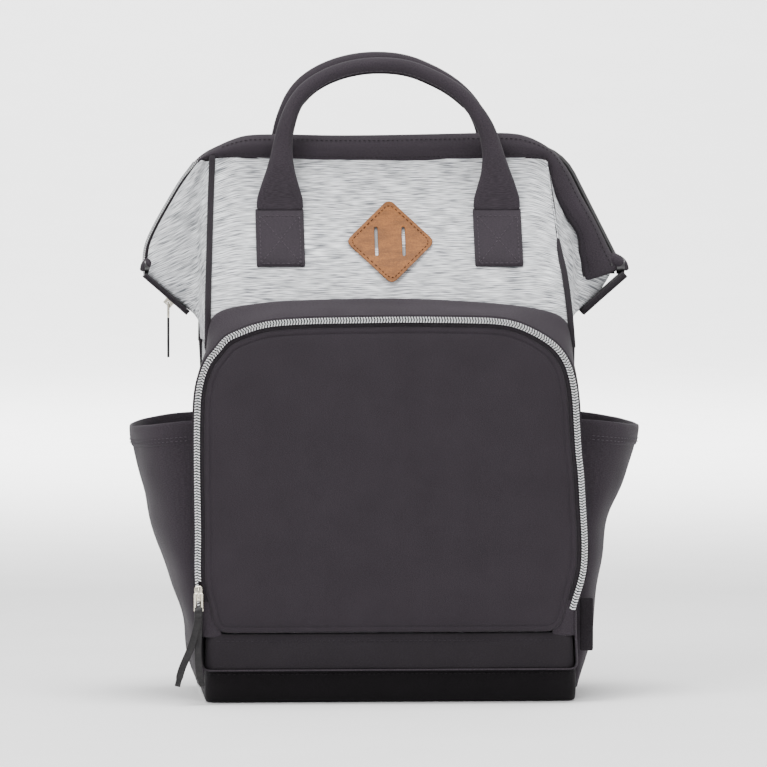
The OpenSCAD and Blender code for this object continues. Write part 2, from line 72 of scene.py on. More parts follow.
# The upper panels: their top, (z, y) of how they lean in, and (z, x) of their side edges
PANEL_TOP = 418
PANEL_DEPTH = [
    (262, 75.5), (285, 75), (300, 71), (320, 59), (340, 45), (360, 31.5), (380, 19.5), (400, 10),
    (414, 6), (420, 4)
]
LEFT_EDGE = [(262, 137), (300, 136.5), (340, 134.5), (370, 133), (406, 131)]
RIGHT_EDGE = [(262, 136.5), (300, 133.5), (316, 132), (343, 129), (370, 126.5), (406, 123)]

# The mouth's outer edge, from the left wing's tip over the top to the right wing's tip
LEFT_WING = [
    (-181.5, 317), (-182.5, 328.5), (-181, 341), (-175, 355), (-165.5, 372), (-155.5, 388.5),
    (-147, 400), (-142, 406.5)
]
RIGHT_WING = [
    (141, 394), (148, 380), (157, 364), (164.4, 349.5), (170, 337.5), (175, 328.5), (177, 321)
]
MOUTH_TOP = [
    (-135, 412), (-127.4, 415.8), (-115, 421), (-103, 424), (-80, 424.6), (-40, 423.8), (0, 424),
    (50, 425), (80, 425.6), (101.4, 424.6), (116.4, 419.5), (128, 412), (135, 403.5)
]

# The bands' inner seams: the whole front one, and the left end that only the rear one has
FRONT_BAND_INNER = [
    (-142, 404.6), (-135, 406.4), (-127, 407.6), (-115, 407.8), (-103, 407.2), (-80, 406),
    (-40, 404.4), (0, 403.6), (50, 404.6), (78, 405.6), (104, 407), (119, 406.5), (124.5, 400),
    (125, 388), (130, 376), (138.5, 362), (146.5, 349), (148, 336), (150, 322), (151.5, 313)
]
REAR_LEFT_INNER = [
    (-158, 313), (-157, 324), (-155, 336), (-150, 350), (-141, 364), (-132, 380), (-127, 391),
    (-125, 400), (-119, 406), (-106, 407)
]

# The front pocket: its zip, its seam on the body, and how far forward its zip lies
POCKET_ZIP = [
    (-143.4, 70.5), (-144.6, 84), (-145.6, 101), (-145.4, 130), (-146, 173), (-146, 209),
    (-145.2, 230), (-142.5, 244.5), (-137.7, 256.5), (-130.4, 266), (-123.4, 273.8),
    (-112.5, 279), (-100, 283.2), (-86, 285.6), (-62, 287), (-30, 287.6), (5.6, 288), (35, 287.8),
    (62, 287.3), (77, 286.6), (91, 284.2), (105, 278.5), (116.6, 271.6), (124, 265),
    (129.6, 256.7), (133, 248), (135.6, 236.5), (137, 223.5), (137.8, 209), (139.2, 187.5),
    (140.8, 173), (142.1, 151.5), (143.4, 130), (143.8, 115.5), (142.9, 101), (140.2, 89),
    (137.6, 81), (134.4, 70.5)
]
POCKET_SEAM = [
    (-138, 26), (-138.4, 120), (-138.6, 220), (-138, 272), (-136, 286), (-126, 295), (-95, 300.4),
    (-60, 302.4), (0, 303.4), (49, 301.6), (93, 298), (121, 292.8), (132, 286), (136.5, 272),
    (138, 220), (138.4, 120), (138, 26)
]
POCKET_Y = 98

# How far the bottle pockets stand out from the walls, as (z, distance)
LEFT_BULGE = [
    (11, 3.6), (14, 5.4), (24, 10), (34, 12.4), (56, 14.8), (78, 19.8), (91, 25.8), (110, 33.6),
    (126, 37.8), (144, 41.8), (159, 45.6), (173, 49.8), (192, 52.6), (208, 55.5)
]
RIGHT_BULGE = [
    (11, 4), (15, 8.4), (25, 11.4), (40, 17.6), (58, 19.3), (79, 21.6), (91, 24), (109, 26.4),
    (121, 27.4), (136, 30.7), (147, 35.4), (159, 40.6), (170, 45.6), (180, 49), (192, 51.4),
    (208, 54.5)
]

# The handles' middle line, and how far from the middle plane they are hinged
HANDLE_LINE = [
    (-81, 367.5), (-81, 378), (-80.6, 392), (-79.8, 405), (-78, 422), (-74.5, 436), (-69, 449),
    (-60, 460), (-47, 468.6), (-31, 474.6), (-14, 477.6), (4, 477.6), (19, 475), (33, 469.6),
    (48, 461.6), (60, 452), (69, 441), (76, 428), (80, 413), (82.2, 398), (83, 384), (83, 367.5)
]
PIVOT_Y = 29.1

# The patch's middle, and the places of its slots beside that
PATCH_X = 1.5
PATCH_Z = 345
PATCH_SLOTS = (-10.6, 10.0)

# The padded band's section, as (share of its width from the mouth's edge, y)
BAND_SECTION = [
    (-0.02, 1.0), (-0.06, 2.6), (0.01, 5.2), (0.14, 8.2), (0.32, 10.2), (0.52, 10.6), (0.72, 9.9),
    (0.88, 8.9), (0.95, 8.1), (1.0, 6.8), (1.0, 4.6), (0.9, 3.0), (0.5, 2.2), (0.1, 1.2)
]

# The camera's view, in metres
CAMERA_TARGET = Vector((-0.0034, -0.04, 0.2377))
VIEW_WIDTH = 0.5786

SIDES = ((-1, "left"), (1, "right"))
HALVES = ((-1, "front"), (1, "rear"))


# ---------------------------------------------------------------- settings


class ClothSettings(bpy.types.PropertyGroup):
    """Colours of the bag's cloths"""

    heather_light: FloatVectorProperty(
        name="Heather Ground", description="Ground colour of the light grey heather cloth",
        subtype="COLOR", size=3, min=0, max=1, default=(0.82, 0.83, 0.85))
    heather_dark: FloatVectorProperty(
        name="Heather Streak", description="Colour of the heather cloth's darker yarns",
        subtype="COLOR", size=3, min=0, max=1, default=(0.13, 0.137, 0.15))
    charcoal: FloatVectorProperty(
        name="Charcoal", description="Colour of the dark canvas",
        subtype="COLOR", size=3, min=0, max=1, default=(0.0184, 0.0137, 0.0186))
    charcoal_fleck: FloatVectorProperty(
        name="Charcoal Fleck", description="Colour of the dark canvas's raised threads",
        subtype="COLOR", size=3, min=0, max=1, default=(0.043, 0.036, 0.0435))
    tan: FloatVectorProperty(
        name="Tan", description="Colour of the leather patch",
        subtype="COLOR", size=3, min=0, max=1, default=(0.165, 0.057, 0.0105))
    wrinkle: FloatProperty(
        name="Wrinkle", description="Height of the creases in loose cloth",
        subtype="DISTANCE", unit="LENGTH", min=0, max=0.005, default=0.0014)


class SewingSettings(bpy.types.PropertyGroup):
    """Sizes of the stitching and the zips"""

    stitch_pitch: FloatProperty(
        name="Stitch Pitch", description="Distance from one stitch to the next",
        subtype="DISTANCE", unit="LENGTH", min=0.002, max=0.008, default=0.0036)
    stitch_radius: FloatProperty(
        name="Thread Radius", description="Radius of the sewing thread",
        subtype="DISTANCE", unit="LENGTH", min=0.0001, max=0.001, default=0.00032)
    tooth_pitch: FloatProperty(
        name="Tooth Pitch", description="Distance from one tooth of the pocket zip to the next",
        subtype="DISTANCE", unit="LENGTH", min=0.001, max=0.004, default=0.0021)
    piping_radius: FloatProperty(
        name="Piping Radius", description="Radius of the piping in the body's corners",
        subtype="DISTANCE", unit="LENGTH", min=0.001, max=0.004, default=0.0024)


class StageSettings(bpy.types.PropertyGroup):
    """The camera, the floor and the lights"""

    distance: FloatProperty(
        name="Camera Distance", description="From the camera to the middle of the bag",
        subtype="DISTANCE", unit="LENGTH", min=1, max=12, default=5.0)
    azimuth: FloatProperty(
        name="Camera Azimuth", description="Turn of the camera round the bag",
        subtype="ANGLE", min=-3.2, max=3.2, default=math.radians(-3.4))
    elevation: FloatProperty(
        name="Camera Elevation", description="Height of the camera above the horizon",
        subtype="ANGLE", min=0, max=1.5, default=math.radians(2.6))
    key_power: FloatProperty(
        name="Key Light", description="Power of the main soft light",
        subtype="POWER", unit="POWER", min=0, max=500, default=62)
    floor_colour: FloatVectorProperty(
        name="Floor", description="Colour of the floor and the backdrop",
        subtype="COLOR", size=3, min=0, max=1, default=(0.97, 0.97, 0.97))


def cloth_settings():
    return bpy.context.scene.backpack_cloth


def sewing_settings():
    return bpy.context.scene.backpack_sewing


# ---------------------------------------------------------------- curves and meshes


def table_value(table, at):
    """Reads a table of (key, value) pairs, straight between its rows"""
    if at <= table[0][0]:
        return table[0][1]
    for (a, va), (b, vb) in zip(table, table[1:]):
        if at <= b:
            return va + (vb - va) * (at - a) / (b - a)
    return table[-1][1]


def smooth_value(table, at):
    """As table_value, rounded over 8 mm each way"""
    steps = (-8, -4, 0, 4, 8)
    return sum(table_value(table, at + s) for s in steps) / len(steps)


def spline(points, count):
    """A smooth run of count points through the given ones"""
    pts = [Vector(p) for p in points]
    spans = [(b - a).length for a, b in zip(pts, pts[1:])]
    total = sum(spans)
    out = []
    span, start = 0, 0.0
    for i in range(count):
        at = total * i / (count - 1)
        while span < len(spans) - 1 and at > start + spans[span]:
            start += spans[span]
            span += 1
        t = min(1, max(0, (at - start) / spans[span]))
        a, b = pts[span], pts[span + 1]
        before = pts[span - 1] if span else a * 2 - b
        after = pts[span + 2] if span + 2 < len(pts) else b * 2 - a
        out.append(0.5 * (a * 2 + (b - before) * t + (before * 2 - a * 5 + b * 4 - after) * t * t
                          + (a * 3 - before - b * 3 + after) * t ** 3))
    return out


def even(points, step):
    """Points about step apart along a run of points"""
    length = sum((Vector(b) - Vector(a)).length for a, b in zip(points, points[1:]))
    return spline(points, max(2, round(length / step) + 1))


def inset(outline, by):
    """Moves a closed outline of (x, z) points inwards; the outline runs clockwise from the front"""
    count = len(outline)
    out = []
    for i, p in enumerate(outline):
        along = (Vector(outline[(i + 1) % count]) - Vector(outline[i - 1])).normalized()
        out.append(Vector(p) + Vector((along.y, -along.x)) * by)
    return out


def inset_open(line, by):
    """Moves an open line of (x, z) points sideways, towards its inside when by is positive"""
    last = len(line) - 1
    out = []
    for i, p in enumerate(line):
        along = (Vector(line[min(i + 1, last)]) - Vector(line[max(i - 1, 0)])).normalized()
        out.append(Vector(p) + Vector((along.y, -along.x)) * by)
    return out


def crease(x, y, z, height=1.0, size=45.0):
    """A gentle random height for loose cloth, in millimetres"""
    p = Vector((x / size, y / size, z / (size * 0.6)))
    broad = noise.noise(p) + 0.45 * noise.noise(p * 2.7 + Vector((7, 3, 1)))
    return broad * height * cloth_settings().wrinkle / MM


def front_y(z, x=0):
    """How far the upper panel stands in front of the mouth's middle plane"""
    return smooth_value(PANEL_DEPTH, z) + crease(x, 5, z)


def add_mesh(name, verts, faces, materials, uvs=None, slots=None, smooth=True):
    """Makes an object from millimetre points; uvs has one (u, v) in metres per face corner"""
    mesh = bpy.data.meshes.new(name)
    mesh.from_pydata([[c * MM for c in v] for v in verts], [], faces)
    for m in materials if isinstance(materials, (list, tuple)) else [materials]:
        mesh.materials.append(m)
    if uvs:
        layer = mesh.uv_layers.new(name="cloth")
        for corner, uv in zip(layer.data, uvs):
            corner.uv = uv
    if slots:
        mesh.polygons.foreach_set("material_index", slots)
    mesh.polygons.foreach_set("use_smooth", [smooth] * len(mesh.polygons))
    mesh.update()
    obj = bpy.data.objects.new(name, mesh)
    bpy.context.scene.collection.objects.link(obj)
    return obj


def sheet_mesh(name, rows, materials, wrap=False, ends=False, slot_of=None, away=None):
    """Skins rows of millimetre points, with a cloth map in metres that follows the rows.
    The faces are turned away from the point away, in millimetres"""
    count = len(rows[0])
    rows = [[Vector(p) for p in row] for row in rows]
    across = count if wrap else count - 1
    middle = rows[len(rows) // 2]
    us = [0.0]
    for i in range(across):
        us.append(us[-1] + (middle[(i + 1) % count] - middle[i]).length * MM)
    vs = [0.0]
    for a, b in zip(rows, rows[1:]):
        vs.append(vs[-1] + (b[count // 2] - a[count // 2]).length * MM)
    faces, uvs, slots = [], [], []
    for j in range(len(rows) - 1):
        for i in range(across):
            a, b = j * count + i, j * count + (i + 1) % count
            faces.append((a, b, b + count, a + count))
            uvs += [(us[i], vs[j]), (us[i + 1], vs[j])]
            uvs += [(us[i + 1], vs[j + 1]), (us[i], vs[j + 1])]
            slots.append(slot_of(i, j) if slot_of else 0)
    if ends:
        last = (len(rows) - 1) * count
        for ring in (range(count - 1, -1, -1), range(last, last + count)):
            faces.append(list(ring))
            uvs += [(rows[0][0].x * MM, 0)] * count
            slots.append(0)
    verts = [p for row in rows for p in row]
    made = add_mesh(name, verts, faces, materials, uvs, slots)
    if away is not None:
        inside = Vector(away) * MM
        facing = sum(f.normal.dot(f.center - inside) * f.area for f in made.data.polygons)
        if facing < 0:
            made.data.flip_normals()
    return made


def settle(obj):
    """Applies an object's modifiers"""
    graph = bpy.context.evaluated_depsgraph_get()
    mesh = bpy.data.meshes.new_from_object(obj.evaluated_get(graph))
    obj.modifiers.clear()
    obj.data = mesh
    return obj


def thicken(obj, thickness, levels, offset=0.0, inside_slot=0):
    """Gives a sheet its thickness in millimetres, and rounds it if levels is over 0"""
    solid = obj.modifiers.new("thickness", "SOLIDIFY")
    solid.thickness = thickness * MM
    solid.offset = offset
    solid.material_offset = inside_slot
    return rounded_off(obj, levels) if levels else settle(obj)


def rounded_off(obj, levels):
    """Rounds a piece by subdivision"""
    rounded = obj.modifiers.new("rounding", "SUBSURF")
    rounded.levels = rounded.render_levels = levels
    return settle(obj)


def sweep(name, path, section, materials, up=(0, 1, 0), closed=False):
    """Carries a section along a path. section(share) gives (sideways, outwards) points"""
    pts = [Vector(p) for p in path]
    count = len(pts)
    rows = []
    for i, p in enumerate(pts):
        after = pts[(i + 1) % count] if closed else pts[min(i + 1, count - 1)]
        before = pts[i - 1] if closed or i else pts[0]
        along = (after - before).normalized()
        side = Vector(up)
        side = (side - along * side.dot(along)).normalized()
        out = along.cross(side)
        rows.append([p + side * a + out * b for a, b in section(i / (count - 1))])
    if closed:
        rows.append(rows[0])
    return outward(sheet_mesh(name, rows, materials, wrap=True, ends=not closed))


def outward(obj):
    """Turns every face of a closed piece outwards"""
    work = bmesh.new()
    work.from_mesh(obj.data)
    bmesh.ops.recalc_face_normals(work, faces=work.faces)
    work.to_mesh(obj.data)
    work.free()
    return obj


def oval(width, depth, sides=16, power=1.0):
    """An oval section; a power under 1 makes it boxier"""
    out = []
    for k in range(sides):
        a = 2 * math.pi * k / sides
        c, s = math.cos(a), math.sin(a)
        out.append((math.copysign(abs(c) ** power, c) * width / 2,
                    math.copysign(abs(s) ** power, s) * depth / 2))
    return out


def piping(name, path):
    """A covered cord along a path, in the body's piping size"""
    width = sewing_settings().piping_radius / MM * 2
    return sweep(name, path, lambda s: oval(width, width, 10), finish("piping"), up=(1, 0, 0))


def stitches(name, runs, material, out=(0, -1, 0), radius=1.0):
    """Sews runs of millimetre points: one short raised stitch for each pitch. radius is a
    share of the thread's"""
    pitch = sewing_settings().stitch_pitch / MM
    thick = sewing_settings().stitch_radius / MM * radius
    verts, faces = [], []
    for run in runs:
        pts = even(run, pitch)
        for a, b in zip(pts, pts[1:]):
            along = b - a
            ahead = along.normalized()
            rise = Vector(out)
            rise = (rise - ahead * rise.dot(ahead)).normalized()
            side = ahead.cross(rise)
            base = len(verts)
            rings = ((0.12, 0.35, -0.5), (0.26, 1, 0.25), (0.6, 1, 0.25), (0.74, 0.35, -0.5))
            for share, size, lift in rings:
                centre = a + along * share + rise * thick * lift
                for k in range(5):
                    turn = 2 * math.pi * k / 5
                    verts.append(centre + (side * math.cos(turn) + rise * math.sin(turn))
                                 * thick * size)
            for ring in range(3):
                for k in range(5):
                    p = base + ring * 5 + k
                    q = base + ring * 5 + (k + 1) % 5
                    faces.append((p, q, q + 5, p + 5))
            faces.append(tuple(base + k for k in range(4, -1, -1)))
            faces.append(tuple(base + 15 + k for k in range(5)))
    return add_mesh(name, verts, faces, material)


def teeth(name, line, material, pitch, reach, depth, y, inner=True):
    """One row of zip teeth along an (x, z) line, reaching inwards or outwards from it"""
    pts = even(line, pitch)
    verts, faces = [], []
    for a, b in zip(pts, pts[1:]):
        along = b - a
        away = Vector((along.y, -along.x)).normalized() * (1 if inner else -1)
        lean = along * 0.35
        base = len(verts)
        for share, out in ((0.04, 0.0), (0.62, 0.0), (0.55, reach), (0.12, reach)):
            p = a + along * share + away * out + lean * (out / reach)
            verts.append((p.x, y - depth / 2, p.y))
            verts.append((p.x, y + depth / 2, p.y))
        q = [base + k for k in range(8)]
        faces += [(q[0], q[2], q[4], q[6]), (q[7], q[5], q[3], q[1])]
        faces += [(q[k], q[k + 1], q[(k + 3) % 8], q[(k + 2) % 8]) for k in (0, 2, 4, 6)]
    return outward(add_mesh(name, verts, faces, material, smooth=False))


def ribbon(name, outer, inner, material, y_of, columns):
    """A strip between two matched (x, z) lines; y_of(share across) gives its y"""
    rows = []
    for a, b in zip(outer, inner):
        row = []
        for k in range(columns):
            share = k / (columns - 1)
            p = a.lerp(b, share)
            row.append((p.x, y_of(share), p.y))
        rows.append(row)
    return sheet_mesh(name, rows, material)


def filled_outline(name, outline, profile, material, dome=None):
    """A panel in an (x, z) outline. profile is (inset, y) pairs, then it closes to the middle"""
    loops = []
    for depth, y in profile:
        loops.append([(p.x, y, p.y) for p in inset(outline, depth)])
    centre = sum((Vector(p) for p in loops[-1]), Vector()) / len(loops[-1])
    for share in (0.86, 0.7, 0.52, 0.34, 0.16):
        ring = []
        for p in loops[len(profile) - 1]:
            q = centre.lerp(Vector(p), share)
            ring.append((q.x, q.y + (dome(q.x, q.z, share) if dome else 0), q.z))
        loops.append(ring)
    verts = [p for loop in loops for p in loop]
    count = len(outline)
    faces = []
    for j in range(len(loops) - 1):
        for i in range(count):
            a, b = j * count + i, j * count + (i + 1) % count
            faces.append((a, b, b + count, a + count))
    tip = len(verts)
    verts.append((centre.x, centre.y + (dome(centre.x, centre.z, 0) if dome else 0), centre.z))
    last = (len(loops) - 1) * count
    faces += [(last + i, last + (i + 1) % count, tip) for i in range(count)]
    uvs = [(verts[v][0] * MM, verts[v][2] * MM) for f in faces for v in f]
    return add_mesh(name, verts, faces, material, uvs)


def puff(obj, voxel, cap, frames=20):
    """Swells a closed pad with cloth pressure, by cap millimetres at most, and applies it"""
    remesh = obj.modifiers.new("even", "REMESH")
    remesh.mode = "VOXEL"
    remesh.voxel_size = voxel * MM
    settle(obj)
    before = [v.co.copy() for v in obj.data.vertices]
    swell = obj.modifiers.new("swell", "CLOTH")
    swell.settings.use_pressure = True
    swell.settings.uniform_pressure_force = 4
    swell.settings.effector_weights.gravity = 0
    swell.settings.quality = 5
    scene = bpy.context.scene
    for f in range(1, frames + 1):
        scene.frame_set(f)
    settle(obj)
    scene.frame_set(1)
    for v, rest in zip(obj.data.vertices, before):
        move = v.co - rest
        if move.length > cap * MM:
            v.co = rest + move.normalized() * cap * MM
    return rounded_off(obj, 1)


def dress(obj, body, slot, *nodes):
    """The piece rides on a body and stands for CAD nodes; its slot is not used"""
    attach(obj, body)
    if nodes:
        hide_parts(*nodes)
    return obj


def fold(obj, sign, slot, *nodes):
    """Bakes the piece's placement into its mesh and stands for CAD nodes; sign, front (-1) or rear (1),
    is not used
    """
    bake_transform(obj)
    if nodes:
        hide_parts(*nodes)
    return obj


# ---------------------------------------------------------------- materials


def new_node(tree, kind, inputs=None, **settings):
    made = tree.nodes.new(kind)
    for key, value in settings.items():
        setattr(made, key, value)
    for key, value in (inputs or {}).items():
        if isinstance(value, bpy.types.NodeSocket):
            tree.links.new(value, made.inputs[key])
        else:
            made.inputs[key].default_value = value
    return made


def calc(tree, operation, a, b, clamp=False):
    return new_node(tree, "ShaderNodeMath", {0: a, 1: b}, operation=operation,
                    use_clamp=clamp).outputs[0]


def mixed(tree, factor, a, b, blend="MIX"):
    made = tree.nodes.new("ShaderNodeMix")
    made.data_type = "RGBA"
    made.blend_type = blend
    for index, value in ((0, factor), (6, a), (7, b)):
        if isinstance(value, bpy.types.NodeSocket):
            tree.links.new(value, made.inputs[index])
        else:
            made.inputs[index].default_value = value
    return made.outputs[2]


def effect_group(name, inputs, outputs):
    """A node group with named sockets. inputs and outputs are (name, socket type, default)"""
    group = bpy.data.node_groups.new(name, "ShaderNodeTree")
    for label, kind, value in inputs:
        socket = group.interface.new_socket(label, in_out="INPUT", socket_type=kind)
        if value is not None:
            socket.default_value = value
    for label, kind in outputs:
        group.interface.new_socket(label, in_out="OUTPUT", socket_type=kind)
    return group, group.nodes.new("NodeGroupInput").outputs, group.nodes.new("NodeGroupOutput")


def spun_cloth_group():
    """Woven cloth: long or short flecks along X and Y, threads, and a broad unevenness"""
    group, take, give = effect_group(
        "spun_cloth",
        [("Vector", "NodeSocketVector", None), ("Ground", "NodeSocketColor", (0.5, 0.5, 0.5, 1)),
         ("Fleck", "NodeSocketColor", (0.2, 0.2, 0.2, 1)), ("Amount", "NodeSocketFloat", 0.5),
         ("Fleck Length", "NodeSocketFloat", 10.0), ("Fleck Width", "NodeSocketFloat", 0.8),
         ("Thread", "NodeSocketFloat", 0.9)],
        [("Color", "NodeSocketColor"), ("Height", "NodeSocketFloat")])
    scaled = new_node(group, "ShaderNodeVectorMath", {0: take["Vector"], 1: (1000, 1000, 1000)},
                      operation="MULTIPLY").outputs[0]
    axes = new_node(group, "ShaderNodeSeparateXYZ", {0: scaled}).outputs
    long_x = calc(group, "DIVIDE", axes[0], take["Fleck Length"])
    long_y = calc(group, "DIVIDE", axes[1], take["Fleck Length"])
    thin_z = calc(group, "DIVIDE", axes[2], take["Fleck Width"])
    stretched = new_node(group, "ShaderNodeCombineXYZ", {0: long_x, 1: long_y, 2: thin_z}).outputs[0]
    coarse = new_node(group, "ShaderNodeTexNoise",
                      {"Vector": stretched, "Scale": 1.0, "Detail": 3.0, "Roughness": 0.65})
    fine = new_node(group, "ShaderNodeTexNoise",
                    {"Vector": stretched, "Scale": 1.7, "Detail": 1.0, "Roughness": 0.5})
    both = calc(group, "ADD", calc(group, "MULTIPLY", coarse.outputs[0], 0.45),
                calc(group, "MULTIPLY", fine.outputs[0], 0.55))
    mask = new_node(group, "ShaderNodeMapRange",
                    {0: both, 1: 0.41, 2: 0.59, 3: 0.0, 4: 1.0}).outputs[0]
    flecked = mixed(group, calc(group, "MULTIPLY", mask, take["Amount"], True),
                    take["Ground"], take["Fleck"])
    broad = new_node(group, "ShaderNodeTexNoise",
                     {"Vector": scaled, "Scale": 0.028, "Detail": 3.0}).outputs[0]
    shade = new_node(group, "ShaderNodeMapRange", {0: broad, 1: 0.3, 2: 0.7, 3: 0.9, 4: 1.08})
    tinted = mixed(group, 1.0, flecked, shade.outputs[0], "MULTIPLY")
    thread = new_node(group, "ShaderNodeVectorMath", {0: scaled, 1: take["Thread"]},
                      operation="DIVIDE").outputs[0]
    warp = new_node(group, "ShaderNodeTexWave", {"Vector": thread, "Scale": 0.314},
                    bands_direction="X").outputs["Fac"]
    weft = new_node(group, "ShaderNodeTexWave", {"Vector": thread, "Scale": 0.314},
                    bands_direction="Z").outputs["Fac"]
    weave = calc(group, "MULTIPLY", warp, weft)
    height = calc(group, "ADD", weave, calc(group, "MULTIPLY", mask, 0.7))
    group.links.new(tinted, give.inputs["Color"])
    group.links.new(height, give.inputs["Height"])
    return group


def hide_grain_group():
    """Leather: pebbled cells, fine pores and rubbed high spots"""
    group, take, give = effect_group(
        "hide_grain",
        [("Vector", "NodeSocketVector", None), ("Ground", "NodeSocketColor", (0.4, 0.2, 0.1, 1)),
         ("Rubbed", "NodeSocketColor", (0.6, 0.35, 0.2, 1)), ("Grain", "NodeSocketFloat", 1.5)],
        [("Color", "NodeSocketColor"), ("Height", "NodeSocketFloat")])
    scaled = new_node(group, "ShaderNodeVectorMath", {0: take["Vector"], 1: (1000, 1000, 1000)},
                      operation="MULTIPLY").outputs[0]
    stretched = new_node(group, "ShaderNodeVectorMath", {0: scaled, 1: (0.35, 1.0, 1.6)},
                         operation="MULTIPLY").outputs[0]
    sized = new_node(group, "ShaderNodeVectorMath", {0: scaled, 1: take["Grain"]},
                     operation="DIVIDE").outputs[0]
    cells = new_node(group, "ShaderNodeTexVoronoi", {"Vector": sized, "Scale": 1.0},
                     feature="SMOOTH_F1").outputs["Distance"]
    broad = new_node(group, "ShaderNodeTexNoise",
                     {"Vector": stretched, "Scale": 0.16, "Detail": 5.0, "Roughness": 0.75}).outputs[0]
    rubbed = new_node(group, "ShaderNodeMapRange", {0: broad, 1: 0.4, 2: 0.62}).outputs[0]
    tone = mixed(group, calc(group, "MULTIPLY", rubbed, 0.6), take["Ground"], take["Rubbed"])
    dark = new_node(group, "ShaderNodeMapRange", {0: cells, 1: 0.1, 2: 0.7, 3: 1.08, 4: 0.78})
    group.links.new(mixed(group, 1.0, tone, dark.outputs[0], "MULTIPLY"), give.inputs["Color"])
    group.links.new(calc(group, "SUBTRACT", 1.0, cells), give.inputs["Height"])
    return group


def brushed_group():
    """Metal or plastic: fine scratches in the colour and the roughness"""
    group, take, give = effect_group(
        "handled_surface",
        [("Vector", "NodeSocketVector", None), ("Ground", "NodeSocketColor", (0.6, 0.6, 0.6, 1)),
         ("Gloss", "NodeSocketFloat", 0.3)],
        [("Color", "NodeSocketColor"), ("Roughness", "NodeSocketFloat"),
         ("Height", "NodeSocketFloat")])
    scaled = new_node(group, "ShaderNodeVectorMath", {0: take["Vector"], 1: (300, 300, 1400)},
                      operation="MULTIPLY").outputs[0]
    lines = new_node(group, "ShaderNodeTexNoise",
                     {"Vector": scaled, "Scale": 1.0, "Detail": 4.0}).outputs[0]
    shade = new_node(group, "ShaderNodeMapRange", {0: lines, 1: 0.3, 2: 0.7, 3: 0.86, 4: 1.06})
    rough = new_node(group, "ShaderNodeMapRange", {0: lines, 1: 0.3, 2: 0.7, 3: -0.07, 4: 0.09})
    group.links.new(mixed(group, 1.0, take["Ground"], shade.outputs[0], "MULTIPLY"),
                    give.inputs["Color"])
    group.links.new(calc(group, "ADD", take["Gloss"], rough.outputs[0], True),
                    give.inputs["Roughness"])
    group.links.new(lines, give.inputs["Height"])
    return group


GROUPS = {}
FINISHES = {}


def effect(name):
    if name not in GROUPS:
        GROUPS[name] = {"cloth": spun_cloth_group, "hide": hide_grain_group,
                        "handled": brushed_group}[name]()
    return GROUPS[name]


def start_material(name):
    material = bpy.data.materials.new(name)
    material.use_nodes = True
    tree = material.node_tree
    return material, tree, tree.nodes["Principled BSDF"]


def cloth_vector(tree, mapped):
    """Cloth-map coordinates with V in Z where mapped, else the piece's own coordinates"""
    source = new_node(tree, "ShaderNodeTexCoord").outputs
    if not mapped:
        return source["Object"]
    uv = new_node(tree, "ShaderNodeSeparateXYZ", {0: source["UV"]}).outputs
    return new_node(tree, "ShaderNodeCombineXYZ", {0: uv[0], 2: uv[1]}).outputs[0]


def bump(tree, shader, height, strength, distance):
    made = new_node(tree, "ShaderNodeBump",
                    {"Height": height, "Strength": strength, "Distance": distance * MM})
    tree.links.new(made.outputs[0], shader.inputs["Normal"])


def opaque(colour):
    return (*colour, 1.0)


def toned(colour, by):
    """A colour made darker or lighter by a factor"""
    return [min(1, v * by) for v in colour]


def cloth_finish(name, ground, fleck, amount, length, width, thread, rough=0.88, sheen=0.06,
                 relief=0.35, mapped=True):
    material, tree, shader = start_material(name)
    weave = new_node(tree, "ShaderNodeGroup", node_tree=effect("cloth"))
    values = {"Ground": opaque(ground), "Fleck": opaque(fleck), "Amount": amount,
              "Fleck Length": length, "Fleck Width": width, "Thread": thread}
    for key, value in values.items():
        weave.inputs[key].default_value = value
    tree.links.new(cloth_vector(tree, mapped), weave.inputs["Vector"])
    tree.links.new(weave.outputs["Color"], shader.inputs["Base Color"])
    shader.inputs["Roughness"].default_value = rough
    shader.inputs["Sheen Weight"].default_value = sheen
    shader.inputs["Sheen Roughness"].default_value = 0.5
    shader.inputs["Specular IOR Level"].default_value = 0.22
    bump(tree, shader, weave.outputs["Height"], relief, 0.25)
    return material


def thread_finish(name, ground, fleck):
    return cloth_finish(name, ground, fleck, 0.4, 0.6, 0.6, 0.5, mapped=False)


def hide_finish(name, ground, rubbed, grain, rough):
    material, tree, shader = start_material(name)
    hide = new_node(tree, "ShaderNodeGroup", node_tree=effect("hide"))
    for key, value in {"Ground": opaque(ground), "Rubbed": opaque(rubbed), "Grain": grain}.items():
        hide.inputs[key].default_value = value
    tree.links.new(cloth_vector(tree, False), hide.inputs["Vector"])
    tree.links.new(hide.outputs["Color"], shader.inputs["Base Color"])
    shader.inputs["Roughness"].default_value = rough
    shader.inputs["Specular IOR Level"].default_value = 0.25
    bump(tree, shader, hide.outputs["Height"], 0.3, 0.3)
    return material


def hard_finish(name, ground, gloss, metal=0.0):
    material, tree, shader = start_material(name)
    handled = new_node(tree, "ShaderNodeGroup", node_tree=effect("handled"))
    handled.inputs["Ground"].default_value = opaque(ground)
    handled.inputs["Gloss"].default_value = gloss
    tree.links.new(cloth_vector(tree, False), handled.inputs["Vector"])
    tree.links.new(handled.outputs["Color"], shader.inputs["Base Color"])
    tree.links.new(handled.outputs["Roughness"], shader.inputs["Roughness"])
    shader.inputs["Metallic"].default_value = metal
    bump(tree, shader, handled.outputs["Height"], 0.1, 0.05)
    return material


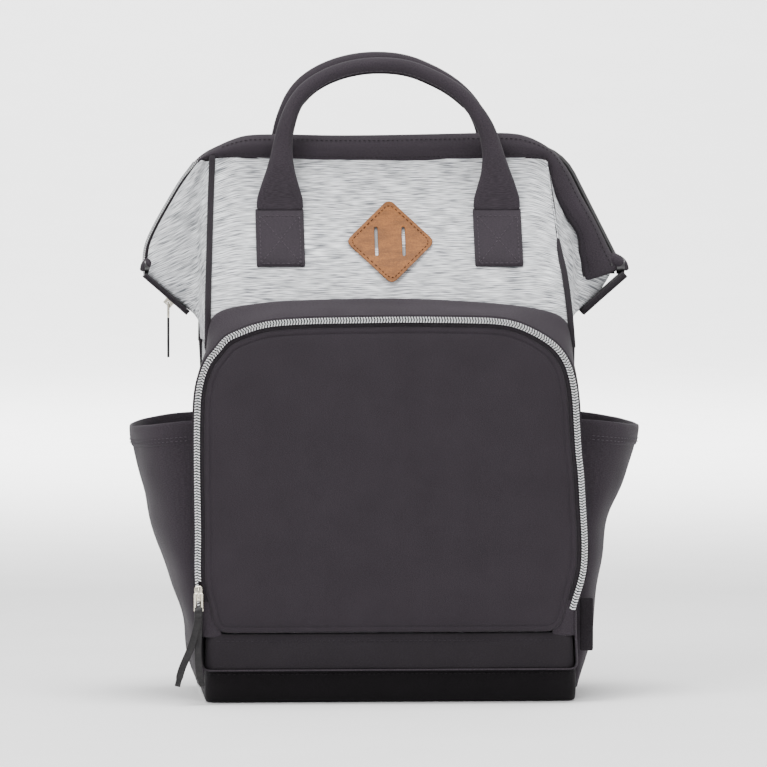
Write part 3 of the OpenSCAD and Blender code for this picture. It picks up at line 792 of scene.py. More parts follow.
def finish(name):
    """The named finish, made the first time it is asked for"""
    if name in FINISHES:
        return FINISHES[name]
    c = cloth_settings()
    dark, fleck = tuple(c.charcoal), tuple(c.charcoal_fleck)
    grey, grey_fleck = (0.36, 0.38, 0.4), (0.27, 0.29, 0.31)
    makers = {
        "heather": lambda: cloth_finish(name, c.heather_light, c.heather_dark, 1.0, 22, 0.85, 0.9),
        "canvas": lambda: cloth_finish(name, dark, fleck, 0.55, 1.6, 0.8, 0.9),
        "canvas_plain": lambda: cloth_finish(name, dark, fleck, 0.55, 1.6, 0.8, 0.9, mapped=False),
        "face_canvas": lambda: cloth_finish(
            name, toned(dark, 0.86), toned(fleck, 0.7), 0.5, 1.2, 0.7, 0.8, relief=0.25),
        # Painted shade: the pocket's lower panel, in the flap's shadow, is the canvas at half its
        # colour
        "painted_shade_canvas": lambda: cloth_finish(
            name, toned(dark, 0.5), toned(fleck, 0.5), 0.5, 1.6, 0.8, 0.9),
        # Painted shade: the boot at the bag's foot is the canvas at about a fifth of its colour, for
        # the shade it stands in
        "painted_deep_shade_canvas": lambda: cloth_finish(
            name, toned(dark, 0.22), toned(fleck, 0.25), 0.5, 1.6, 0.8, 0.9),
        "webbing": lambda: cloth_finish(
            name, dark, fleck, 0.6, 30, 1.6, 1.6, relief=0.7, mapped=False),
        "lining": lambda: cloth_finish(name, grey, grey_fleck, 0.4, 2, 1, 0.7, 0.7, 0.1, 0.15),
        "lining_plain": lambda: cloth_finish(
            name, grey, grey_fleck, 0.4, 2, 1, 0.7, 0.7, 0.1, 0.15, mapped=False),
        "spacer_mesh": lambda: cloth_finish(
            name, toned(dark, 0.7), fleck, 0.8, 1.6, 1.6, 2.2, relief=0.8, mapped=False),
        "piping": lambda: cloth_finish(
            name, toned(dark, 0.62), toned(fleck, 0.6), 0.4, 1.2, 0.8, 0.8),
        "zip_tape": lambda: cloth_finish(
            name, toned(dark, 0.5), toned(fleck, 0.6), 0.5, 1, 1, 1, mapped=False),
        "pale_tape": lambda: cloth_finish(
            name, (0.3, 0.31, 0.32), (0.16, 0.17, 0.18), 0.5, 1, 1, 1, mapped=False),
        "thread": lambda: thread_finish(name, toned(fleck, 1.5), dark),
        "faint_thread": lambda: thread_finish(name, dark, toned(dark, 0.6)),
        "dark_thread": lambda: thread_finish(name, toned(dark, 0.45), dark),
        "tan_thread": lambda: thread_finish(name, (0.07, 0.025, 0.008), (0.14, 0.06, 0.02)),
        "tan_leather": lambda: hide_finish(name, c.tan, toned(c.tan, 2), 1.1, 0.55),
        "black_leather": lambda: hide_finish(
            name, (0.012, 0.011, 0.012), (0.03, 0.028, 0.028), 1.0, 0.45),
        "teeth": lambda: hard_finish(name, (0.78, 0.78, 0.79), 0.32, 0.75),
        "steel": lambda: hard_finish(name, (0.09, 0.088, 0.09), 0.36, 1.0),
        "pale_gold": lambda: hard_finish(name, (0.74, 0.69, 0.58), 0.26, 1.0),
        "plastic": lambda: hard_finish(name, (0.022, 0.021, 0.023), 0.42),
        "board": lambda: hard_finish(name, (0.05, 0.05, 0.05), 0.7),
    }
    FINISHES[name] = makers[name]()
    return FINISHES[name]


def refinish(node_name, finish_name):
    """Gives a CAD node that stays in view its finish"""
    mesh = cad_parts[node_name].data
    mesh.materials.clear()
    mesh.materials.append(finish(finish_name))


# ---------------------------------------------------------------- outlines shared by pieces


def mouth_line():
    """The mouth's outer edge from the left wing's tip to the right one's"""
    return spline(LEFT_WING + MOUTH_TOP + RIGHT_WING, 170)


def edge_x(side, z):
    """Where the upper panels end at the left (-1) or right (1)"""
    return side * smooth_value(LEFT_EDGE if side < 0 else RIGHT_EDGE, z)


def on_panel(sign, x, z, out):
    """A point out from the front (-1) or rear (1) upper panel"""
    return Vector((x, sign * (smooth_value(PANEL_DEPTH, z) + out), z))


def rounded_box(w, d, radius, steps):
    """The corners of a rounded rectangle of half sizes w and d, each turned in a few steps"""
    out = []
    for cx, cy, start in ((1, -1, -90), (1, 1, 0), (-1, 1, 90), (-1, -1, 180)):
        for k in range(steps + 1):
            a = math.radians(start + 90 * k / steps)
            out.append(Vector((cx * (w - radius) + radius * math.cos(a),
                               cy * (d - radius) + radius * math.sin(a))))
    return out


def pocket_outline():
    """The front pocket's closed outline at its zip, clockwise from the lower left"""
    foot_left = [(-139.5, 27), (-141.2, 36), (-142.4, 52)]
    foot_right = [(134.6, 52), (135.4, 36), (136, 27)]
    side_up = spline(foot_left + POCKET_ZIP + foot_right, 150)
    foot = [Vector((136 - 275.5 * i / 40, 26)) for i in range(1, 40)]
    return side_up + foot


# ---------------------------------------------------------------- stage


def studio_floor(colour):
    """The pale floor, which turns up into a backdrop far behind the bag"""
    flat = [(y, 0) for y in (-14, -3, -1, 1, 3, 5, 6.4)]
    rise = [(7.6, 0.4), (8.2, 1.4), (8.4, 3), (8.5, 9)]
    rows = [[(x / MM, y / MM, z / MM) for x in (-14, -3, 3, 14)] for y, z in flat + rise]
    floor = sheet_mesh("studio_floor", rows, [])
    rounded_off(floor, 3)
    material, tree, shader = start_material("studio_paper")
    grain = new_node(tree, "ShaderNodeTexNoise", {"Scale": 240.0, "Detail": 3.0})
    shade = new_node(tree, "ShaderNodeMapRange",
                     {0: grain.outputs[0], 1: 0.3, 2: 0.7, 3: 0.985, 4: 1.015})
    paper = mixed(tree, 1.0, opaque(colour), shade.outputs[0], "MULTIPLY")
    tree.links.new(paper, shader.inputs["Base Color"])
    shader.inputs["Roughness"].default_value = 0.9
    floor.data.materials.append(material)


def studio_camera(azimuth, elevation, distance):
    """A long lens, so that the bag's sides stay nearly parallel"""
    camera = bpy.data.objects.new("camera", bpy.data.cameras.new("camera"))
    bpy.context.scene.collection.objects.link(camera)
    bpy.context.scene.camera = camera
    back = Vector((math.sin(azimuth) * math.cos(elevation),
                   -math.cos(azimuth) * math.cos(elevation), math.sin(elevation)))
    camera.location = CAMERA_TARGET + back * distance
    camera.rotation_mode = "QUATERNION"
    camera.rotation_quaternion = (-back).to_track_quat("-Z", "Y")
    camera.data.sensor_width = 36
    camera.data.lens = 36 * distance / VIEW_WIDTH
    camera.data.clip_end = 60


def studio_lights(power):
    """Soft lights round the bag, a wash on the backdrop and a pale sky"""
    bag, backdrop = Vector((0, 0, 0.22)), Vector((0, 7.6, 0.3))
    lights = [
        ("key", (-1.4, -1.7, 2.3), bag, 1.3, power),
        ("fill", (1.9, -2.2, 1.4), bag, 2.2, power * 0.35),
        ("top", (0.1, -0.3, 2.7), bag, 1.3, power * 1.35),
        ("back_wash", (0.0, 3.0, 3.2), backdrop, 3.0, power * 12),
    ]
    for name, place, aim, size, watts in lights:
        lamp = bpy.data.lights.new(name, "AREA")
        lamp.shape = "SQUARE"
        lamp.size = size
        lamp.energy = watts
        obj = bpy.data.objects.new(name, lamp)
        obj.location = place
        obj.rotation_mode = "QUATERNION"
        obj.rotation_quaternion = (aim - Vector(place)).to_track_quat("-Z", "Y")
        bpy.context.scene.collection.objects.link(obj)
    world = bpy.data.worlds.new("studio")
    world.use_nodes = True
    sky = world.node_tree.nodes["Background"]
    sky.inputs["Color"].default_value = (1, 1, 1, 1)
    sky.inputs["Strength"].default_value = 0.72
    bpy.context.scene.world = world


class BACKPACK_OT_stage(bpy.types.Operator):
    """Sets up the camera, the pale floor and the soft lights"""

    bl_idname = "backpack.stage"
    bl_label = "Stage"
    bl_options = {"REGISTER", "UNDO"}

    def execute(self, context):
        stage = context.scene.backpack_stage
        studio_floor(stage.floor_colour)
        studio_camera(stage.azimuth, stage.elevation, stage.distance)
        studio_lights(stage.key_power)
        return {"FINISHED"}


# ---------------------------------------------------------------- base


def boot_ring(grow, z):
    """One level of the boot, seen from above; grow moves it outwards"""
    out = 2.6 + grow
    corners = rounded_box(HALF_W + out, HALF_D + out, 7.0, 4)
    ring = []
    for i, p in enumerate(corners):
        q = corners[(i + 1) % len(corners)]
        parts = 14 if (q - p).length > 30 else 1
        for k in range(parts):
            m = p.lerp(q, k / parts)
            ring.append((m.x, m.y, z + (crease(m.x, m.y, z, 0.35, 60) if z > 3 else 0)))
    return ring


class BACKPACK_OT_base(bpy.types.Operator):
    """Builds the stiff boot round the base"""

    bl_idname = "backpack.base"
    bl_label = "Base"
    bl_options = {"REGISTER", "UNDO"}

    def execute(self, context):
        levels = ((-12, 0), (-3, 0), (-0.6, 0.7), (0, 3), (0.5, 12), (0.3, 20), (0, 24.2),
                  (-1, 25.2), (-2.4, 25), (-3, 20))
        rows = [boot_ring(grow, z) for grow, z in levels]
        # Painted shade: the boot's canvas is darkened to about a fifth for the shade at the bag's foot
        boot = sheet_mesh("base_boot_cloth", rows, finish("painted_deep_shade_canvas"), wrap=True)
        dress(rounded_off(boot, 1), "shell", "charcoal_fabric", "base_boot")
        underside = boot_ring(-11.8, 0.1)
        floor = add_mesh("base_underside", underside, [list(range(len(underside)))[::-1]],
                         finish("canvas_plain"), smooth=False)
        dress(floor, "shell", "charcoal_fabric")
        line = [(x, y, 21.5) for x, y, _ in boot_ring(0.55, 21.5)]
        thread = stitches("base_boot_stitches", [line + line[:1]], finish("dark_thread"),
                          out=(0, 0, 1))
        dress(thread, "shell", "charcoal_fabric")
        return {"FINISHED"}


# ---------------------------------------------------------------- walls and lining


def wall_ring(z):
    """One level of the soft body, seen from above, bowed between its corners"""
    swell = 2.2 * math.sin(math.pi * min(1, max(0, z / SHELL_TOP)))
    corners = rounded_box(HALF_W, HALF_D, 9.0, 3)
    ring = []
    for i, p in enumerate(corners):
        q = corners[(i + 1) % len(corners)]
        parts = 16 if (q - p).length > 30 else 1
        for k in range(parts):
            m = p.lerp(q, k / parts)
            bow = math.sin(math.pi * k / parts) if parts > 1 else 0
            push = (swell + crease(m.x, m.y, z, 0.9, 50)) * bow
            if abs(m.x) / HALF_W > abs(m.y) / HALF_D:
                m.x += math.copysign(push, m.x)
            else:
                m.y += math.copysign(push, m.y) * 0.4
            ring.append((m.x, m.y, z))
    return ring


def body_walls():
    """All four walls in one skin: heather in front and at the sides, canvas at the back"""
    rows = [wall_ring(z) for z in [4, 12, 26, 40, *range(56, 262, 15), 262, SHELL_TOP]]

    def cloth_of(i, j):
        return 1 if rows[j][i][1] > HALF_D - 5 else 0

    walls = sheet_mesh("body_walls", rows, [finish("heather"), finish("canvas")], wrap=True,
                       slot_of=cloth_of, away=(0, 0, 130))
    thicken(walls, 2.6, 1, offset=-1)
    dress(walls, "shell", "heather_fabric", "front_wall", "back_wall", "left_side_wall",
          "right_side_wall")


def wall_piping(side, word, sign, place):
    """The piping in one upright corner of the body"""
    line = [(side * (HALF_W - 1.2), sign * (HALF_D - 1), z) for z in (24, 90, 170, 240)]
    line.append((edge_x(side, SHELL_TOP), sign * (HALF_D + 0.2), SHELL_TOP))
    cord = piping(f"{word}_{place}_wall_piping", spline(line, 40))
    dress(cord, "shell", "black_trim")


def lining_ring(z, w, d):
    """One level of the loose lining, seen from above"""
    corners = [Vector(c) for c in ((-w, -d), (w, -d), (w, d), (-w, d))]
    ring = []
    for i, p in enumerate(corners):
        for k in range(12):
            m = p.lerp(corners[(i + 1) % 4], k / 12)
            push = crease(m.x, m.y, z, 0.8, 55) if k else 0
            m += m.normalized() * (push - 0.8)
            ring.append((m.x, m.y, z))
    return ring


def body_lining():
    """The lining inside the walls, with its floor"""
    w, d = HALF_W - 4.2, HALF_D - 4.2
    rows = [lining_ring(7.2, w - 40, d - 25), lining_ring(7.2, w - 4, d - 4)]
    rows += [lining_ring(z, w, d) for z in (10, 40, 80, 120, 160, 200, 240, 262, SHELL_TOP)]
    lining = sheet_mesh("lining_cloth", rows, finish("lining"), wrap=True)
    rounded_off(lining, 1)
    dress(lining, "shell", "lining_fabric", "lining")
    middle = lining_ring(7.3, w - 39, d - 24)
    floor = add_mesh("lining_floor", middle, [list(range(len(middle)))], finish("lining_plain"),
                     smooth=False)
    dress(floor, "shell", "lining_fabric")
    refinish("base_board", "board")


def inner_pocket():
    """The flat pocket on the back wall's inside, with an elastic rim"""
    def slack(x):
        return 1.4 * math.sin(math.pi * (x + 100) / 200)

    across = range(-100, 101, 10)
    rows = []
    for j in range(12):
        z = 24 + 134 * j / 11
        rows.append([(x, 68.2 - slack(x) * j / 11 + crease(x, 0, z, 0.6), z) for x in across])
    cloth = thicken(sheet_mesh("inner_pocket_cloth", rows, finish("lining")), 1.4, 1)
    dress(cloth, "shell", "lining_fabric", "inner_pocket")
    rim = spline([(x, 67.0 - slack(x), 157) for x in across], 60)
    elastic = sweep("inner_pocket_elastic", rim, lambda s: oval(3, 9, 12, 0.6),
                    finish("lining_plain"))
    dress(elastic, "shell", "lining_fabric")


class BACKPACK_OT_walls(bpy.types.Operator):
    """Builds the soft body's walls, their corner piping and the lining"""

    bl_idname = "backpack.walls"
    bl_label = "Walls and Lining"
    bl_options = {"REGISTER", "UNDO"}

    def execute(self, context):
        body_walls()
        for side, word in SIDES:
            for sign, place in HALVES:
                wall_piping(side, word, sign, place)
        body_lining()
        inner_pocket()
        return {"FINISHED"}


# ---------------------------------------------------------------- upper panels and gussets


def upper_panel(sign, place):
    """The heather panel between the body and the mouth's band"""
    rows = []
    for j in range(25):
        level = 258 + 154 * j / 24
        left, right = edge_x(-1, level), edge_x(1, level)
        row = []
        for i in range(41):
            t = i / 40
            x = left + (right - left) * t
            top = min(PANEL_TOP, table_value(MOUTH_TOP, x) - 4)
            z = 258 + (top - 258) * j / 24
            sag = 0.8 * math.sin(math.pi * t) * math.sin(math.pi * j / 24)
            row.append((x, sign * (front_y(z, x) + sag), z))
        rows.append(row)
    cloth = sheet_mesh(f"upper_{place}_cloth", rows, [finish("heather"), finish("lining")],
                       away=(0, 0, 200))
    thicken(cloth, 1.6, 1, offset=-1, inside_slot=1)
    fold(cloth, sign, "heather_fabric", f"upper_{place}_panel")


def gusset_outer(side, covers_wire):
    """The gusset's outer edge, from the body's top out along the wing"""
    wing = list(LEFT_WING) if side < 0 else [*reversed(RIGHT_WING), (135, 403.5)]
    edge = [(side * 137, 0, 268), (side * 143.5, 0, 287), (side * 160, -1, 300)]
    for k, (x, z) in enumerate(wing):
        edge.append((x - side * (1.6 if covers_wire else 4), -(3.4 if k else 2.2), z))
    return spline(edge, 46)


def gusset(side, word, sign, place):
    """One half of a side gusset, from the piping out to the wing's edge. The left front one
    covers the wire; the others pass behind the band"""
    covers_wire = side < 0 and sign < 0
    outer = gusset_outer(side, covers_wire)
    fold_line = [(0.0, 137.6, 36, 268), (0.12, 140.5, 30, 284), (0.26, 142.5, 20, 299)]
    if covers_wire:
        fold_line += [(0.4, 143.4, 12.5, 319), (0.6, 144, 10, 351), (0.8, 142.5, 8.6, 379),
                      (1.0, 136.5, 7.6, 405)]
    else:
        fold_line += [(0.4, 146, 9, 319), (0.6, 144, 6, 351), (0.8, 130, 5, 379),
                      (1.0, 123, 4.4, 405)]
    rows = []
    for j in range(46):
        s = j / 45
        z = 268 + 138 * s
        inner = Vector((edge_x(side, z), -front_y(z, edge_x(side, z)), z))
        x, y, z = (table_value([(key[0], key[c]) for key in fold_line], s) for c in (1, 2, 3))
        mid = Vector((side * x, -y, z))
        over, near = mid.lerp(outer[j], 0.45), mid.lerp(outer[j], 0.8)
        if covers_wire and s > 0.2:
            rise = min(1, (s - 0.2) / 0.12)
            over.y = min(over.y, over.y * (1 - rise) - 11 * rise)
            near.y = min(near.y, near.y * (1 - rise) - 9.8 * rise)
        soft = inner.lerp(mid, 0.55) + Vector((side * 1.4 * (1 - s), 0, 0))
        row = []
        for i, p in enumerate(spline([inner, soft, mid, over, near, outer[j]], 22)):
            loose = crease(p.x * 1.7, p.y, p.z, 1.9, 34) * math.sin(math.pi * i / 21)
            p += Vector((side * 0.3, -1, 0.2)) * loose
            row.append((p.x, p.y * -sign, p.z))
        rows.append(row)
    cloth = sheet_mesh(f"{word}_{place}_gusset_cloth", rows, [finish("heather"), finish("lining")],
                       away=(0, 0, 250))
    thicken(cloth, 1.4, 1, offset=-1, inside_slot=1)
    turn = math.radians(24)
    for corner in cloth.data.uv_layers[0].data:
        u, v = corner.uv
        corner.uv = (u * math.cos(turn) - v * math.sin(turn), u * math.sin(turn) + v * math.cos(turn))
    fold(cloth, sign, "heather_fabric", f"{word}_gusset")


def panel_piping(side, word, sign, place):
    """The piping beside an upper panel; at the right it sinks under the fold higher up"""
    line = []
    for j in range(40):
        z = 266 + 143 * j / 39
        x = edge_x(side, z)
        sunk = min(1, max(0, z - 324) / 22) if side > 0 else 0
        line.append((x + side * (0.4 - sunk * 1.5), sign * (front_y(z, x) + 0.7 - sunk * 4), z))
    fold(piping(f"{word}_{place}_piping", line), sign, "black_trim", f"{place}_piping")


class BACKPACK_OT_upper(bpy.types.Operator):
    """Builds the upper panels, the side gussets and their piping"""

    bl_idname = "backpack.upper"
    bl_label = "Upper Panels and Gussets"
    bl_options = {"REGISTER", "UNDO"}

    def execute(self, context):
        for sign, place in HALVES:
            upper_panel(sign, place)
            for side, word in SIDES:
                gusset(side, word, sign, place)
                panel_piping(side, word, sign, place)
        return {"FINISHED"}


# ---------------------------------------------------------------- mouth


def mouth_band(sign, place, outer, inner):
    """The padded band over one wire, from its outer edge to its seam on the panel"""
    body = f"mouth_{place}"
    outer, inner = spline(outer, 150), spline(inner, 150)
    rows = []
    for a, b in zip(outer, inner):
        puffed = min(1, (a - b).length / 12)
        row = []
        for share, y in BAND_SECTION:
            p = a.lerp(b, share)
            lift = crease(p.x, 9, p.y, 0.55, 40) if 0.1 < share < 0.95 and y > 7 else 0
            row.append((p.x, sign * (1.0 + (y - 1.0) * (0.8 + 0.2 * puffed) + lift), p.y))
        rows.append(row)
    cloth = outward(sheet_mesh(f"{place}_band_cloth", rows, finish("canvas"), wrap=True, ends=True))
    dress(rounded_off(cloth, 1), body, "charcoal_fabric", f"{place}_mouth_band")
    edge = [(b.x, sign * 7.0, b.y) for b in inner]
    binding = sweep(f"{place}_band_cloth_binding", edge, lambda s: oval(2.2, 1.9, 8),
                    finish("piping"))
    dress(binding, body, "black_trim")
    runs = []
    for share, y in ((0.8, 9.5), (0.16, 8.9)):
        wide = [a.lerp(b, share) for a, b in zip(outer[2:-2], inner[2:-2]) if (a - b).length > 9]
        runs.append([(p.x, sign * (y + crease(p.x, 9, p.y, 0.55, 40)), p.y) for p in wide])
    thread = stitches(f"{place}_band_cloth_stitches", runs, finish("dark_thread"),
                      out=(0, sign, 0), radius=0.9)
    dress(thread, body, "charcoal_fabric")


def mouth_zip(sign, place):
    """One half of the mouth's zip; it shows beside the left wing and lies lower elsewhere"""
    body, node = f"mouth_{place}", f"mouth_zip_{place}"
    line = mouth_line()
    sunk = [p.lerp(q, min(1, max(0, (p.x + 152) / 14))) for p, q in zip(line, inset_open(line, 1.6))]
    row = teeth(f"{node}_teeth", sunk, finish("teeth"), 1.7, 1.4, 1.2, sign, inner=False)
    dress(row, body, "zip_teeth", node)
    tape = ribbon(f"{node}_tape", sunk, inset_open(sunk, 1.6), finish("zip_tape"),
                  lambda across: sign * (0.9 + 1.2 * across), columns=3)
    dress(thicken(tape, 0.5, 0), body, "black_trim")
    wing = line[:next(i for i, p in enumerate(line) if p.x > -143)]
    backing = ribbon(f"{node}_backing", inset_open(wing, -1.7), wing, finish("pale_tape"),
                     lambda across: sign * 0.3, columns=2)
    dress(backing, body, "zip_teeth")


def hinge_cap(side, word):
    """The cloth cap over the wires' pin at a wing's tip"""
    spine = spline([(side * x, 0, z) for x, z in ((171, 330), (176, 328), (181, 325.4), (184.6, 323),
                                                 (185.6, 322))], 14)

    def closing(s):
        size = max(0.2, 1 - s ** 4)
        return oval(14.4 * size, 13 * size, 14)

    cap = sweep(f"{word}_hinge_cap", spine, closing, finish("canvas_plain"))
    dress(rounded_off(cap, 1), "shell", "black_trim")


def zip_tail(side, word, thick):
    """The stiff end of the mouth's zip below a wing's tip"""
    line = spline([(side * x, 0, z) for x, z in ((149.8, 290), (157.6, 297), (165.4, 303.9),
                                                (173.2, 310.7), (181, 317.5), (182.6, 318.9))], 24)
    strip = sweep(f"{word}_zip_tail_tape", line, lambda s: oval(23, thick, 16, 0.5),
                  finish("zip_tape"))
    dress(strip, "shell", "black_trim", f"{word}_zip_tail")


class BACKPACK_OT_mouth(bpy.types.Operator):
    """Builds the bands round the mouth, its zip and the wires' pins"""

    bl_idname = "backpack.mouth"
    bl_label = "Mouth Bands and Zip"
    bl_options = {"REGISTER", "UNDO"}

    def execute(self, context):
        mouth_band(-1, "front", LEFT_WING[-1:] + MOUTH_TOP + RIGHT_WING, FRONT_BAND_INNER)
        mouth_band(1, "rear", LEFT_WING + MOUTH_TOP + RIGHT_WING,
                   REAR_LEFT_INNER + FRONT_BAND_INNER[5:])
        for sign, place in HALVES:
            mouth_zip(sign, place)
        for side, word in SIDES:
            hinge_cap(side, word)
        zip_tail(-1, "left", 4.2)
        zip_tail(1, "right", 5.6)
        for node in ("front_frame", "rear_frame", "hinge_pins"):
            refinish(node, "steel")
        refinish("mouth_slider", "pale_gold")
        refinish("mouth_pull_link", "pale_gold")
        refinish("mouth_pull_tab", "black_leather")
        return {"FINISHED"}


# ---------------------------------------------------------------- front pocket


def pocket_gusset():
    """The pocket's rim, from its seam on the body out to the zip"""
    foot = [Vector((138 - 276 * i / 40, 25.6)) for i in range(1, 40)]
    seam = spline(POCKET_SEAM, 150) + foot
    outline = pocket_outline()
    rows = []
    for share, grow, y in ((0, 0, 73.5), (0.05, 0, 76.5), (0.3, 1.6, 81.5), (0.55, 3.2, 87),
                           (0.8, 4.2, 92), (0.95, 3.8, 95.8), (1, 3.2, 97.6), (1, 2.6, 98.2)):
        row = []
        for p, q in zip(inset(outline, -grow), seam):
            m = q.lerp(p, share)
            lift = crease(m.x, y, m.y, 0.9, 30) * math.sin(math.pi * share)
            row.append((m.x, -y, max(25.5, m.y + lift)))
        rows.append(row)
    rim = sheet_mesh("pocket_gusset_cloth", rows, finish("canvas"), wrap=True, away=(0, -60, 160))
    dress(thicken(rim, 1.2, 1, offset=-1), "shell", "charcoal_fabric", "pocket_gusset")


def pocket_zip():
    """The zip round the flap: the outer half on the rim, the inner half on the flap"""
    line = spline(POCKET_ZIP, 200)
    pitch = sewing_settings().tooth_pitch / MM
    y = -POCKET_Y - 0.9
    outer = teeth("pocket_zip_outer_teeth", inset_open(line, -2.15), finish("teeth"), pitch, 2.1,
                  2.0, y)
    dress(outer, "shell", "zip_teeth", "pocket_zip_outer")
    inner_line = inset_open(line, 2.15)
    closed = inner_line[next(i for i, p in enumerate(inner_line) if p.y > 92):]
    inner = teeth("pocket_zip_inner_teeth", closed, finish("teeth"), pitch, 2.1, 2.0, y, inner=False)
    dress(inner, "flap", "zip_teeth", "pocket_zip_inner")
    for name, body, near, far in (("pocket_zip_outer_tape", "shell", -3.6, -0.3),
                                  ("pocket_zip_inner_tape", "flap", 0.3, 8.2)):
        tape = ribbon(name, inset_open(line, near), inset_open(line, far), finish("zip_tape"),
                      lambda across: -POCKET_Y + 0.7, columns=3)
        dress(thicken(tape, 0.6, 0), body, "black_trim")


def flap_outline():
    """The flap's closed outline: up inside the zip, over, down and back along its hem"""
    inside_zip = [p for p in inset_open(spline(POCKET_ZIP, 200), 5.4) if p.y > 84]
    left_foot = [(-122, 54.4), (-127.6, 55.2), (-132, 58.6), (-134.8, 65), (-136.6, 74)]
    right_foot = [(131, 76), (128.6, 66), (125, 58.6), (119.6, 55.2), (114, 54.4)]
    hem = [Vector((114 - 236 * i / 40, 54.4)) for i in range(1, 40)]
    return spline(left_foot + inside_zip + right_foot, 170) + hem


def pocket_flap():
    """The padded flap with its edge seam, and its lining"""
    face = flap_outline()
    # How far the edge goes in and out as it turns over the seam
    edge = ((2.2, -2), (0, -1.9), (-0.2, -0.6), (0.5, 1.0), (2.4, 1.7), (3.8, 1.5), (4.5, 0.7),
            (5.2, 1.5), (6.8, 2.3))

    def crown(x, z, share):
        mound = (1 - min(1, abs(x) / 138) ** 2) * (1 - min(1, abs(z - 170) / 116) ** 2)
        return -3.4 * mound + crease(x, 3, z, 0.8, 60) * mound ** 0.5

    profile = [(depth, -POCKET_Y - out) for depth, out in edge]
    cloth = filled_outline("pocket_flap_cloth", face, profile, finish("face_canvas"), crown)
    dress(rounded_off(outward(cloth), 1), "flap", "charcoal_fabric", "pocket_flap")
    back = filled_outline("pocket_flap_lining", inset(face, 0.4),
                          [(0, -POCKET_Y + 2.2), (4, -POCKET_Y + 2.4)], finish("lining"))
    dress(back, "flap", "lining_fabric")


def pocket_lower_panel():
    """The strip under the flap; its top slopes back to let the flap swing down"""
    rows = []
    for z, y in ((26, 95), (27.5, 96.6), (33, 97.6), (41, 98.2), (47.4, 98.4), (49.8, 97.4),
                 (52, 96.6), (53.2, 96.2), (53, 95)):
        left = -140.6 + 1.2 * (z - 26) / 28
        right = 136.6 - 1.4 * (z - 26) / 28
        row = []
        for i in range(57):
            t = i / 56
            x = left + (right - left) * t
            turn = max(0, abs(t - 0.5) * 2 - 0.965) / 0.035
            row.append((x, -(y - 4 * turn ** 2) + crease(x, 2, z, 0.4, 50), z))
        rows.append(row)
    # Painted shade: this canvas is darkened to half for the shadow under the flap
    cloth = thicken(sheet_mesh("pocket_lower_cloth", rows, finish("painted_shade_canvas")), 1.4, 1, offset=0)
    dress(cloth, "shell", "charcoal_fabric", "pocket_lower_panel")
    seam = [(x, -98.9, 48.2) for x in range(-132, 126, 6)]
    thread = stitches("pocket_lower_stitches", [seam], finish("faint_thread"), radius=0.8)
    dress(thread, "shell", "charcoal_fabric")


def pocket_corner(side, word, far_x, near_x):
    """The gore between the zip's end and the lower panel"""
    rows = []
    for z in (51, 54, 58, 63, 68, 73, 78):
        far = table_value([(51, far_x), (78, far_x + side)], z)
        near = table_value([(51, near_x), (60, near_x + side * 2), (78, near_x + side * 8)], z)
        row = []
        for k in range(7):
            bulge = 0.9 * math.sin(math.pi * k / 6) - (0.6 if k == 0 else 0)
            row.append((far + (near - far) * k / 6, -96.6 - bulge, z))
        rows.append(row)
    cloth = thicken(sheet_mesh(f"pocket_{word}_corner", rows, finish("canvas")), 1.0, 1, offset=0)
    dress(cloth, "shell", "charcoal_fabric")


def pocket_slider():
    """The slider's wedge with its bail"""
    x = -145.1
    rows = []
    for z, wide, near, far in ((78, 3.6, 99.6, 101.2), (79, 4.6, 99.4, 101.9), (83, 5.4, 99.3, 102.2),
                               (87.4, 6.6, 99.3, 102), (89.4, 5.4, 99.4, 101.7), (90, 3.4, 99.6, 101)):
        rows.append([(x + a, b - (near + far) / 2, z) for a, b in oval(wide, far - near, 12, 0.45)])
    wedge = outward(sheet_mesh("pocket_slider_body", rows, finish("pale_gold"), wrap=True, ends=True))
    dress(rounded_off(wedge, 1), "pocket_zip_slider", "pale_metal", "pocket_slider")
    arch = spline([(x, -y, z) for y, z in ((101.4, 88.6), (103.2, 88.3), (104.6, 86.4), (104.6, 83.6),
                                           (103.2, 81.4), (101.4, 81))], 18)
    bail = sweep("pocket_slider_bail", arch, lambda s: oval(1.5, 1.3, 8), finish("pale_gold"),
                 up=(1, 0, 0))
    dress(bail, "pocket_zip_slider", "pale_metal")
    refinish("pocket_pull_link", "pale_gold")


def pocket_pull():
    """The leather strip through the link: two tails and their keeper"""
    front = [(-145.4, -104.2, 73), (-146.4, -104.4, 60), (-151, -104, 44), (-157.6, -103.4, 28),
             (-161, -103, 15)]
    rear = [(-144.8, -102.6, 73), (-145, -102.4, 58), (-145.6, -102.2, 40), (-144.6, -102.4, 25),
            (-142.4, -102.6, 15)]
    for name, path in (("pocket_pull_front_tail", front), ("pocket_pull_rear_tail", rear)):
        strip = sweep(name, spline(path, 26), lambda s: oval(1.5, 5.4 if s < 0.9 else 4.2, 12, 0.5),
                      finish("black_leather"))
        dress(strip, "pocket_zip_pull", "black_leather", "pocket_pull_strip")
    keeper = sweep("pocket_pull_keeper", [(-145.1, -103.5, 74), (-145.1, -103.5, 66)],
                   lambda s: oval(3.8, 6.2, 12, 0.5), finish("black_leather"))
    dress(keeper, "pocket_zip_pull", "black_leather")


class BACKPACK_OT_pocket(bpy.types.Operator):
    """Builds the arched front pocket, its flap and its zip"""

    bl_idname = "backpack.pocket"
    bl_label = "Front Pocket"
    bl_options = {"REGISTER", "UNDO"}

    def execute(self, context):
        pocket_gusset()
        pocket_zip()
        pocket_flap()
        pocket_lower_panel()
        pocket_corner(-1, "left", -142.2, -127)
        pocket_corner(1, "right", 137.2, 119)
        pocket_slider()
        pocket_pull()
        return {"FINISHED"}


# ---------------------------------------------------------------- sides


